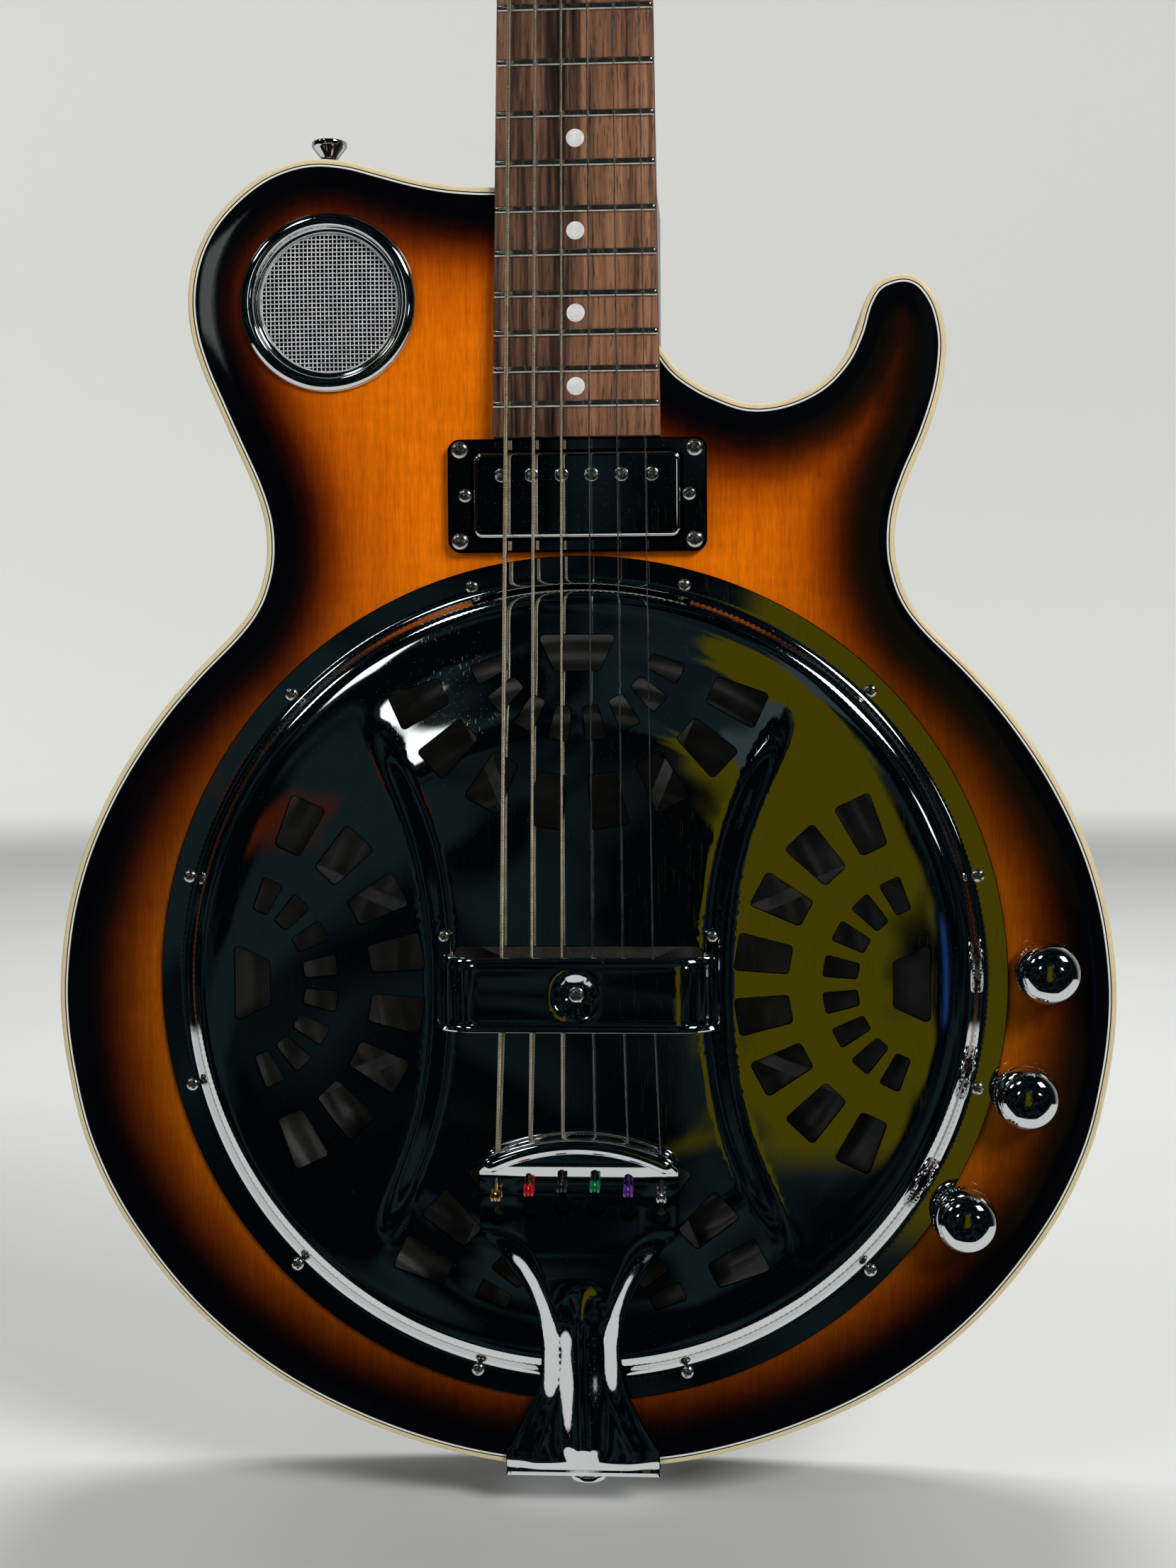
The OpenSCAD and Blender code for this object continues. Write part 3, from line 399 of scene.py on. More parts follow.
def mat_ball(i):
    nm, col, met, ro = BALLS[i]
    m, nt, b = material("ball_" + nm, Metallic=met)
    f = nt.noise(nt.coords(), 700, 3, 0.6)
    nt.link(nt.mix(nt.mapr(f, 0.4, 0.7), col, tuple(c * 0.7 for c in col)), C(b, "Base Color"))
    nt.link(nt.math("MULTIPLY_ADD", f, 0.2, ro - 0.1, True), C(b, "Roughness"))
    C(b, "Coat Weight").default_value = 0.4
    return m


def paint(node, mat):
    o = N[node]
    o.data.materials.clear()
    o.data.materials.append(mat)


# ------------------------------------------------------------------ mesh helpers
def build(name, verts, faces, Mx, mats, nodes=(), body=ROOT, slot=None, sharp=38, recalc=True, normals=None, attrs=None, fmat=None):
    v = np.asarray(verts, float)
    A = np.array(Mx)
    v = v @ A[:3, :3].T + A[:3, 3]
    me = bpy.data.meshes.new(name)
    me.from_pydata(v.tolist(), [], [tuple(int(i) for i in f) for f in faces])
    if attrs:
        for k, val in attrs.items():
            a = me.attributes.new(k, "FLOAT", "POINT")
            a.data.foreach_set("value", np.asarray(val, np.float32))
    me.update()
    bm = bmesh.new()
    bm.from_mesh(me)
    if recalc:
        bmesh.ops.recalc_face_normals(bm, faces=bm.faces)
    for f in bm.faces:
        f.smooth = True
    if sharp and normals is None:
        lim = math.radians(sharp)
        for e in bm.edges:
            e.smooth = len(e.link_faces) != 2 or e.calc_face_angle(0) < lim
        for f in bm.faces:
            if len(f.verts) > 4:
                for e in f.edges:
                    e.smooth = False
    bm.to_mesh(me)
    bm.free()
    mats = mats if isinstance(mats, (list, tuple)) else [mats]
    for m in mats:
        me.materials.append(m)
    if fmat is not None:
        me.polygons.foreach_set("material_index", np.asarray(fmat, np.int32))
    me.update()
    if normals is not None:
        me.normals_split_custom_set([tuple(x) for x in normals])
    o = bpy.data.objects.new(name, me)
    bpy.context.scene.collection.objects.link(o)
    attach(o, body)
    if nodes:
        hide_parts(*([nodes] if isinstance(nodes, str) else nodes))
    return o


class Parts:
    """Collects several closed solids into one mesh."""

    def __init__(self):
        self.v, self.f, self.m, self.k = [], [], [], 0

    def add(self, v, f, Mx=None, mat=0):
        v = np.asarray(v, float)
        if Mx is not None:
            A = np.array(Mx)
            v = v @ A[:3, :3].T + A[:3, 3]
        self.v.append(v)
        self.f += [tuple(int(i) + self.k for i in q) for q in f]
        self.m += [mat] * len(f)
        self.k += len(v)
        return self

    def done(self, name, Mx, mats, **kw):
        return build(name, np.vstack(self.v), self.f, Mx, mats, fmat=self.m, **kw)


T = Matrix.Translation


def revolve(prof, n=96, closed=False, mod=None):
    """Profile of (r, z) about z. r == 0 ends close on the axis."""
    v, rings = [], []
    for i, (r, z) in enumerate(prof):
        if r < 1e-6:
            rings.append([len(v)])
            v.append((0, 0, z))
        else:
            s = len(v)
            for k in range(n):
                a = 2 * math.pi * k / n
                rr = r * (mod(i, a) if mod else 1)
                v.append((rr * math.cos(a), rr * math.sin(a), z))
            rings.append(list(range(s, s + n)))
    f = []
    pairs = list(zip(rings[:-1], rings[1:])) + ([(rings[-1], rings[0])] if closed else [])
    for a, b in pairs:
        for k in range(n):
            j = (k + 1) % n
            if len(a) == 1 and len(b) == 1:
                continue
            if len(a) == 1:
                f.append((a[0], b[j], b[k]))
            elif len(b) == 1:
                f.append((a[k], a[j], b[0]))
            else:
                f.append((a[k], a[j], b[j], b[k]))
    return np.array(v), f


def tube(path, rad, sides=10, caps=True):
    P = np.array(path, float)
    n = len(P)
    R = np.full(n, rad) if np.isscalar(rad) else np.array(rad, float)
    tg = np.gradient(P, axis=0)
    tg /= np.linalg.norm(tg, axis=1)[:, None]
    up = np.array([1.0, 0, 0]) if abs(tg[0][0]) < 0.8 else np.array([0, 1.0, 0])
    u = np.cross(tg[0], up)
    u /= np.linalg.norm(u)
    v, f = [], []
    for i in range(n):
        u = u - tg[i] * (u @ tg[i])
        u /= np.linalg.norm(u)
        w = np.cross(tg[i], u)
        for k in range(sides):
            a = 2 * math.pi * k / sides
            v.append(P[i] + R[i] * (math.cos(a) * u + math.sin(a) * w))
    for i in range(n - 1):
        for k in range(sides):
            j = (k + 1) % sides
            f.append((i * sides + k, i * sides + j, (i + 1) * sides + j, (i + 1) * sides + k))
    if caps:
        f.append(tuple(range(sides - 1, -1, -1)))
        f.append(tuple((n - 1) * sides + k for k in range(sides)))
    return np.array(v), f


def loft(sections, caps=True, close=True):
    """Loops of the same length joined one after another."""
    m = len(sections[0])
    v = np.vstack([np.asarray(s, float) for s in sections])
    f = []
    for i in range(len(sections) - 1):
        for k in range(m if close else m - 1):
            j = (k + 1) % m
            f.append((i * m + k, i * m + j, (i + 1) * m + j, (i + 1) * m + k))
    if caps:
        f.append(tuple(range(m - 1, -1, -1)))
        f.append(tuple((len(sections) - 1) * m + k for k in range(m)))
    return v, f


def rrect(w, h, r, n=8):
    p = []
    for cx, cy, a0 in ((w / 2 - r, h / 2 - r, 0), (-w / 2 + r, h / 2 - r, 90), (-w / 2 + r, -h / 2 + r, 180), (w / 2 - r, -h / 2 + r, 270)):
        for k in range(n + 1):
            a = math.radians(a0 + 90 * k / n)
            p.append((cx + r * math.cos(a), cy + r * math.sin(a)))
    return np.array(p)


def circle(r, n=48, c=(0, 0)):
    a = np.arange(n) * 2 * math.pi / n
    return np.stack([c[0] + r * np.cos(a), c[1] + r * np.sin(a)], 1)


def area(p):
    q = np.roll(p, -1, 0)
    return 0.5 * np.sum(p[:, 0] * q[:, 1] - q[:, 0] * p[:, 1])


def fillet(poly, r, n=4):
    """Rounds the corners of a convex polygon."""
    P = np.array(poly, float)
    out = []
    k = len(P)
    for i in range(k):
        a, b, c = P[i - 1], P[i], P[(i + 1) % k]
        u, w = (a - b) / np.linalg.norm(a - b), (c - b) / np.linalg.norm(c - b)
        ang = math.acos(max(-1, min(1, float(u @ w))))
        t = min(r / math.tan(ang / 2), 0.45 * np.linalg.norm(a - b), 0.45 * np.linalg.norm(c - b))
        rr = t * math.tan(ang / 2)
        bis = (u + w) / np.linalg.norm(u + w)
        cen = b + bis * rr / math.sin(ang / 2)
        p0, p1 = b + u * t - cen, b + w * t - cen
        a0, a1 = math.atan2(p0[1], p0[0]), math.atan2(p1[1], p1[0])
        d = (a1 - a0 + math.pi) % (2 * math.pi) - math.pi
        for j in range(n + 1):
            t_ = a0 + d * j / n
            out.append(cen + rr * np.array([math.cos(t_), math.sin(t_)]))
    return np.array(out)


def grow(loop, d):
    """Moves a closed loop to its left by d (counter-clockwise loops shrink)."""
    t = np.roll(loop, -1, 0) - np.roll(loop, 1, 0)
    t /= np.linalg.norm(t, axis=1)[:, None] + 1e-12
    return loop + d * np.stack([-t[:, 1], t[:, 0]], 1)


def inside(P, loop):
    lo, hi = loop.min(0), loop.max(0)
    out = np.zeros(len(P), bool)
    idx = np.where(((P >= lo) & (P <= hi)).all(1))[0]
    a, b = loop, np.roll(loop, -1, 0)
    for s in range(0, len(idx), 4000):
        j = idx[s:s + 4000]
        x, y = P[j, 0][:, None], P[j, 1][:, None]
        c = ((a[:, 1] > y) != (b[:, 1] > y)) & (x < (b[:, 0] - a[:, 0]) * (y - a[:, 1]) / (b[:, 1] - a[:, 1] + 1e-30) + a[:, 0])
        out[j] = c.sum(1) % 2 == 1
    return out


def near(P, Q, d):
    """Which points of P lie within d of a point of Q."""
    out = np.zeros(len(P), bool)
    for s in range(0, len(P), 2000):
        q = P[s:s + 2000]
        out[s:s + 2000] = (((q[:, None, :] - Q[None]) ** 2).sum(2).min(1)) < d * d
    return out


def sheet(loops, pts, F, thick, bevel=0.25, gap=0.7):
    """A closed sheet over the plane region loops[0] minus the rest, mapped by F(x, y, offset) -> 3-D points.
    Returns verts, faces, per-corner normals. Edges are eased by bevel."""
    L = []
    for i, p in enumerate(loops):
        p = np.array(p, float)
        if (area(p) > 0) != (i == 0):
            p = p[::-1]
        L.append(p)
    G = [grow(p, bevel) for p in L]
    allb = np.vstack(G)
    if len(pts):
        pts = pts[inside(pts, G[0])]
        for g in G[1:]:
            pts = pts[~inside(pts, g)]
        pts = pts[~near(pts, allb, gap)]
    allp = np.vstack([allb, pts]) if len(pts) else allb
    edges, k = [], 0
    for g in G:
        n = len(g)
        edges += [(k + i, k + (i + 1) % n) for i in range(n)]
        k += n
    r = delaunay_2d_cdt([Vector(p) for p in allp], edges, [], 0, 1e-6)
    V = np.array([v[:] for v in r[0]])
    Fc = np.array([tuple(f) for f in r[2]])
    inv = {}
    for i, o in enumerate(r[3]):
        for j in o:
            inv[j] = i
    cen = V[Fc].mean(1)
    ok = inside(cen, G[0])
    for g in G[1:]:
        ok &= ~inside(cen, g)
    Fc = Fc[ok]
    a, b, c = V[Fc[:, 0]], V[Fc[:, 1]], V[Fc[:, 2]]
    sgn = (b[:, 0] - a[:, 0]) * (c[:, 1] - a[:, 1]) - (c[:, 0] - a[:, 0]) * (b[:, 1] - a[:, 1])
    Fc[sgn < 0] = Fc[sgn < 0][:, ::-1]
    Fc = Fc[np.abs(sgn) > 1e-9]
    n = len(V)
    e = 0.05

    def nrm(Q):
        x, y = Q[:, 0], Q[:, 1]
        dx = F(x + e, y, 0) - F(x - e, y, 0)
        dy = F(x, y + e, 0) - F(x, y - e, 0)
        q = np.cross(dx, dy)
        return q / np.linalg.norm(q, axis=1)[:, None]

    top = F(V[:, 0], V[:, 1], np.zeros(n))
    bot = F(V[:, 0], V[:, 1], np.full(n, -thick))
    nt_ = nrm(V)
    verts = [top, bot]
    faces = [tuple(t) for t in Fc] + [(t[2] + n, t[1] + n, t[0] + n) for t in Fc]
    norms = [nt_[i] for t in Fc for i in t] + [-nt_[i] for t in Fc for i in (t[2], t[1], t[0])]
    k, base = 0, 2 * n
    for p, g in zip(L, G):
        m = len(p)
        gi = [inv[k + i] for i in range(m)]
        k += m
        if bevel > 0:
            r1 = F(p[:, 0], p[:, 1], np.full(m, -bevel * 0.8))
            r2 = F(p[:, 0], p[:, 1], np.full(m, -thick + bevel * 0.8))
            verts += [r1, r2]
            rows = [gi, list(range(base, base + m)), list(range(base + m, base + 2 * m)), [i + n for i in gi]]
            pos = [top[gi], r1, r2, bot[gi]]
            base += 2 * m
        else:
            rows = [gi, [i + n for i in gi]]
            pos = [top[gi], bot[gi]]
        for (ra, pa), (rb, pb) in zip(list(zip(rows, pos))[:-1], list(zip(rows, pos))[1:]):
            q = np.cross(np.roll(pa, -1, 0) - pa, pb - pa)
            q = -q / (np.linalg.norm(q, axis=1)[:, None] + 1e-12)
            qs = q + np.roll(q, 1, 0)
            qs /= np.linalg.norm(qs, axis=1)[:, None] + 1e-12
            smooth_ok = (q * np.roll(q, 1, 0)).sum(1) > 0.75
            for i in range(m):
                j = (i + 1) % m
                if ra[i] == ra[j] or rb[i] == rb[j]:
                    continue
                faces.append((ra[j], ra[i], rb[i], rb[j]))
                ni = qs[i] if smooth_ok[i] else q[i]
                nj = qs[j] if smooth_ok[j] else q[i]
                norms += [-nj, -ni, -ni, -nj]
    return np.vstack(verts), faces, np.array(norms)


def turn_normals(nn, Mx):
    A = np.array(Mx)[:3, :3]
    q = nn @ A.T
    return q / np.linalg.norm(q, axis=1)[:, None]


def build_sheet(name, loops, pts, F, thick, Mx, mats, bevel=0.25, gap=0.7, attrs=None, **kw):
    v, f, nn = sheet(loops, pts, F, thick, bevel, gap)
    return build(name, v, f, Mx, mats, recalc=False, normals=turn_normals(nn, Mx), attrs=attrs(v) if attrs else None, **kw)


def flat_map(x0=0, y0=0, h=0.0):
    return lambda x, y, o: np.stack([x + x0, y + y0, h + np.zeros_like(x) + o], 1)


# ------------------------------------------------------------------ body outline (x, z from the plate's centre)
TREBLE = [(26.6, 222), (26.8, 215), (29.2, 210.5), (33.5, 205), (39, 200.8), (46, 197), (57, 193.2), (68.5, 194), (80, 199), (88, 207),
          (92.5, 216), (95.5, 226), (100, 232.5), (108, 235), (114.5, 232.8), (119.5, 226), (122, 217), (122.3, 208), (120.5, 196),
          (116, 182), (110, 168), (106.5, 157)]
BOUT = [(105.5, 147), (106.5, 138), (110, 128), (117, 118.5), (131, 104.5), (144, 89.5), (157, 70.5), (167, 51), (173.5, 33), (177.5, 14),
        (179, -8), (176.5, -32), (170, -58), (156.5, -85), (133.5, -114), (105, -137), (72, -153.5), (36, -164)]
BASS = [(-106.5, 157), (-110, 168), (-116, 181.5), (-121.5, 194), (-127, 207), (-130.5, 219), (-131.5, 231), (-129.5, 243), (-124.5, 254),
        (-117, 263), (-107.5, 270.5), (-98, 274.8), (-88, 276.6), (-77, 275.6), (-66, 272.6), (-55, 269.5), (-45, 267.4), (-35, 266.3), (-27, 266)]
CTRL = np.array(TREBLE + BOUT + [(0, -167)] + [(-x, z) for x, z in reversed(BOUT)] + BASS, float)
HEEL_Z, NECK_X = 266.0, 26.6


def catmull(P, n, closed=False):
    P = np.asarray(P, float)
    k = len(P)
    pts, tan = [], []
    for i in range(k if closed else k - 1):
        if closed:
            a, b, c, d = P[i - 1], P[i], P[(i + 1) % k], P[(i + 2) % k]
        else:
            a, b, c, d = P[max(i - 1, 0)], P[i], P[i + 1], P[min(i + 2, k - 1)]
        for j in range(n):
            t = j / n
            pts.append(0.5 * (2 * b + (c - a) * t + (2 * a - 5 * b + 4 * c - d) * t * t + (3 * b - a - 3 * c + d) * t ** 3))
            tan.append(0.5 * ((c - a) + 2 * (2 * a - 5 * b + 4 * c - d) * t + 3 * (3 * b - a - 3 * c + d) * t * t))
    if not closed:
        pts.append(P[-1])
        tan.append(P[-1] - P[-2])
    return np.array(pts), np.array(tan)


OP, OT = catmull(CTRL, 8)
OT /= np.linalg.norm(OT, axis=1)[:, None]
ON = np.stack([OT[:, 1], -OT[:, 0]], 1)          # inward


def outline(d):
    return np.vstack([OP + d * ON, [[NECK_X - d, HEEL_Z - d]]])


def edge_distance(P):
    a, b = OP[:-1], OP[1:]
    ab = b - a
    L2 = (ab ** 2).sum(1)
    out = np.empty(len(P))
    for s in range(0, len(P), 1500):
        q = P[s:s + 1500]
        t = np.clip(((q[:, None] - a) * ab).sum(2) / L2, 0, 1)
        out[s:s + 1500] = np.sqrt(((q[:, None] - a - t[..., None] * ab) ** 2).sum(2).min(1))
    return out


def roll(d):
    return -0.4 * np.clip(1 - d / 9.0, 0, 1) ** 2


def ring_sweep(prof, name, Mx, mats, closed_path=False, **kw):
    """Profile of (inset, height) points, closed, carried along the outline."""
    secs = []
    for d, h in prof:
        p = outline(d) if closed_path else OP + d * ON
        secs.append(np.column_stack([p, np.full(len(p), h)]))
    S = np.array(secs).transpose(1, 0, 2)          # along the path, then round the profile
    v, f = loft(list(S), caps=not closed_path)
    if closed_path:
        m, k = len(prof), len(S)
        for j in range(m):
            i = (j + 1) % m
            f.append(((k - 1) * m + j, (k - 1) * m + i, i, j))
    return build(name, v, f, Mx, mats, **kw)


BIND, PURF0, PURF1 = 1.7, 2.1, 2.7


def grid_points(lo, hi, step):
    xs, ys = np.arange(lo[0], hi[0], step), np.arange(lo[1], hi[1], step)
    g = np.array([(x + (step / 2 if j % 2 else 0), y) for j, y in enumerate(ys) for x in xs])
    return g


def make_body():
    rings = []
    for d in (2.4, 3.2, 4.5, 6.2, 8.2, 10.6, 13.2, 16.0, 20.0, 24.5):
        p = (OP + d * ON)[::2]
        rings.append(p[edge_distance(p) > d * 0.93])
    g = grid_points((-180, -170), (180, 280), 5.2)
    g = g[edge_distance(g) > 27]
    pts = np.vstack(rings + [g])
    holes = [circle(134.0, 200), circle(26.0, 64, (-83.5, 228.5)), rrect(71, 32, 2) + [0, 163.1]]

    def F(x, y, o):
        return np.stack([x, y, roll(edge_distance(np.stack([x, y], 1))) + o], 1)

    build_sheet("soundboard", [outline(BIND)] + holes, pts, F, 4.4, PF, M["burst"], bevel=0.0, gap=1.0, nodes="body_top",
                attrs=lambda v: {"edge_d": edge_distance(v[:, :2])})
    # back: the same outline seen from behind
    def FB(x, y, o):
        return np.stack([x, y, -DEPTH - roll(edge_distance(np.stack([x, y], 1))) - o], 1)

    v, f, nn = sheet([outline(BIND)], pts, FB, 4.4, 0.0, 1.0)
    f = [tuple(reversed(q)) for q in f]
    out, k = [], 0
    for q in f:
        out += [nn[k + len(q) - 1 - i] for i in range(len(q))]
        k += len(q)
    build("back_plate", v, f, PF, M["burst_back"], recalc=True, sharp=40, nodes="body_back", attrs={"edge_d": edge_distance(v[:, :2])})
    r0 = float(roll(0))
    top_prof = [(BIND, -6), (BIND, roll(BIND) + 0.0), (1.1, roll(1.1) + 0.0), (0.55, roll(0.55) - 0.06), (0.2, r0 - 0.22), (0.03, r0 - 0.55), (0, r0 - 1.0), (0, -6)]
    ring_sweep(top_prof, "top_binding", PF, M["cream"], nodes="binding_top")
    ring_sweep([(d, -DEPTH - h) for d, h in top_prof], "back_edge_binding", PF, M["cream"], nodes="binding_back")
    z1, z2 = roll(PURF0) + 0.035, roll(PURF1) + 0.035
    ring_sweep([(PURF0, z1), (PURF1, z2), (PURF1, z2 - 1.2), (PURF0, z1 - 1.2)], "white_purfling", PF, M["white_line"], nodes="purfling_white")
    ring_sweep([(0, -6), (0, -DEPTH + 6), (3, -DEPTH + 6), (3, -6)], "bent_sides", PF, M["side"], closed_path=True, nodes="body_sides")


make_body()

# ------------------------------------------------------------------ cover plate
PLATE_R = 143.0


def table(pts, sig=0.0, lo=0.0, hi=143.0):
    """Smooth curve through (x, y) points as a fine table, monotone between them."""
    P = np.array(sorted(pts), float)
    x, y = P[:, 0], P[:, 1]
    h = np.diff(x)
    dl = np.diff(y) / h
    m = np.zeros(len(x))
    for i in range(1, len(x) - 1):
        if dl[i - 1] * dl[i] > 0:
            w1, w2 = 2 * h[i] + h[i - 1], h[i] + 2 * h[i - 1]
            m[i] = (w1 + w2) / (w1 / dl[i - 1] + w2 / dl[i])
    m[0], m[-1] = dl[0], dl[-1]
    X = np.arange(lo, hi + 0.05, 0.05)
    i = np.clip(np.searchsorted(x, X, "right") - 1, 0, len(x) - 2)
    t = (X - x[i]) / h[i]
    Y = ((1 + 2 * t) * (1 - t) ** 2 * y[i] + t * (1 - t) ** 2 * h[i] * m[i] + t * t * (3 - 2 * t) * y[i + 1] + t * t * (t - 1) * h[i] * m[i + 1])
    if sig:
        k = np.arange(-int(sig * 60), int(sig * 60) + 1) * 0.05
        w = np.exp(-(k / sig) ** 2 / 2)
        w /= w.sum()
        pad = len(k) // 2
        Y = np.convolve(np.concatenate([np.full(pad, Y[0]), Y, np.full(pad, Y[-1])]), w, "valid")
    return X, Y


DOME_X, DOME_Y = table([(0, 9.2), (25, 9.08), (50, 8.7), (90, 7.9), (112, 7.3), (122, 6.95), (127.5, 6.5), (130.2, 5.5), (132.2, 3.6), (134.2, 1.65),
                        (135.6, 1.2), (142.2, 1.2), (143, 1.2)], 0.35)
CHAN_X, CHAN_Y = table([(0, 12.0), (40, 11.95), (60, 11.8), (90, 10.9), (100, 10.3), (112, 9.0), (119, 7.8), (124, 6.7), (130, 4.5), (143, 0)], 1.2)
HOUR_X, HOUR_Y = table([(0, 47.5), (15, 48), (30, 49.5), (45, 52.5), (60, 57.5), (75, 64.5), (90, 73), (108, 86), (126, 100), (143, 114)], 2.0)


def plate_h(x, y):
    r = np.hypot(x, y)
    d = np.interp(r, DOME_X, DOME_Y)
    c = np.interp(r, CHAN_X, CHAN_Y)
    ay = np.abs(y)
    w = np.interp(ay, HOUR_X, HOUR_Y)
    sl = (np.interp(ay + 1, HOUR_X, HOUR_Y) - np.interp(np.maximum(ay - 1, 0), HOUR_X, HOUR_Y)) / 2
    s = (w - np.abs(x)) / np.sqrt(1 + sl ** 2)
    t = np.clip((s + 5.0) / 13.0, 0, 1)
    t = t ** 3 * (t * (t * 6 - 15) + 10)
    q = np.clip((r - 84) / 40.0, 0, 1)
    fade = 1 - q * q * (3 - 2 * q)
    return d + np.maximum(c - d, 0) * t * fade


def fan_polys():
    out = []
    for k in range(4):
        R = math.radians(90 * k)
        rot = np.array([[math.cos(R), -math.sin(R)], [math.sin(R), math.cos(R)]])
        out.append(fillet([(-7.5, 104.5), (7.5, 104.5), (13, 116.5), (-13, 116.5)], 1.3) @ rot.T)
        for b in (9.5, 28.5, 47, 65):
            for s in (-1, 1):
                for m0, m1 in ((26.7, 38), (49.5, 67.5)):
                    q = [(r_ * math.sin(math.radians(s * b + a)), 119 - r_ * math.cos(math.radians(s * b + a)))
                         for r_, a in ((m0, -5.3), (m0, 5.3), (m1, 5.3), (m1, -5.3))]
                    out.append(fillet(q, 0.9 if m0 < 30 else 1.3) @ rot.T)
    return out


def make_plate():
    loops = [circle(PLATE_R, 420)] + fan_polys()
    loops.append(fillet([(-41.5, -14), (41.5, -14), (41.5, 13), (-41.5, 13)], 2.5))
    pts = []
    for i, r in enumerate(list(np.arange(2.2, 126, 2.2)) + [126.6, 127.8, 128.8, 129.6, 130.3, 131, 131.7, 132.4, 133.1, 133.7, 134.2, 134.7, 135.1, 135.5, 136.0, 136.6, 137.6, 139.6, 141.4]):
        n = int(2 * math.pi * r / 2.4) if r < 126 else 420
        a = (np.arange(n) + (i % 2) * 0.5) * 2 * math.pi / n
        pts.append(np.stack([r * np.cos(a), r * np.sin(a)], 1))
    pts = np.vstack(pts)

    def F(x, y, o):
        return np.stack([x, y, plate_h(x, y) + o], 1)

    build_sheet("cover_plate_shell", loops, pts, F, 1.0, PF, M["chrome_plate"], bevel=0.28, gap=0.8, nodes="cover_plate")


make_plate()


def screw_head(r, h, cross=True, n=36):
    """Domed head with a cross recess, base at z 0."""
    rr = [0, .12, .22, .3, .4, .5, .6, .72, .84, .93, .98, 1.0]
    v, rings = [], []
    for q in rr:
        k = 1 if q == 0 else n
        ring = []
        for j in range(k):
            a = 2 * math.pi * j / n
            x, y = q * math.cos(a), q * math.sin(a)
            z = h * math.sqrt(max(0.0, 1 - (q * 0.93) ** 2))
            if cross:
                near_axis = min(abs(x), abs(y)) < 0.13 and q < 0.62
            else:
                near_axis = abs(y) < 0.13 and q < 0.97
            if near_axis or (cross and q < 0.15):
                z -= 0.42 * h
            ring.append(len(v))
            v.append((x * r, y * r, z))
        rings.append(ring)
    f = [(rings[0][0], rings[1][j], rings[1][(j + 1) % n]) for j in range(n)]
    for a, b in zip(rings[1:-1], rings[2:]):
        f += [(a[j], b[j], b[(j + 1) % n], a[(j + 1) % n]) for j in range(n)]
    k = len(v)
    v += [(r * math.cos(2 * math.pi * j / n), r * math.sin(2 * math.pi * j / n), -0.15) for j in range(n)]
    f += [(rings[-1][j], k + j, k + (j + 1) % n, rings[-1][(j + 1) % n]) for j in range(n)]
    f.append(tuple(k + j for j in range(n - 1, -1, -1)))
    return v, f


def shank(r, z0, z1, n=16):
    return revolve([(0, z0), (r, z0 + r), (r, z1), (0, z1)], n)


def make_screws():
    p = Parts()
    for k in range(12):
        a = math.radians(15 + 30 * k)
        x, y = 137.5 * math.cos(a), 137.5 * math.sin(a)
        p.add(*screw_head(2.1, 1.35), T((x, y, 1.3)) @ Matrix.Rotation(0.5 + k * 1.3, 4, 'Z'))
        p.add(*shank(1.15, -8.5, 1.2), T((x, y, 0)))
    for s in (-1, 1):
        p.add(*screw_head(1.8, 1.1), T((s * 44.6, 16.5, 13.1)) @ Matrix.Rotation(0.4 * s, 4, 'Z'))
        p.add(*shank(0.95, 9.6, 13), T((s * 44.6, 16.5, 0)))
    p.done("plate_screws", PF, M["screw"], nodes="cover_plate_screws")


make_screws()


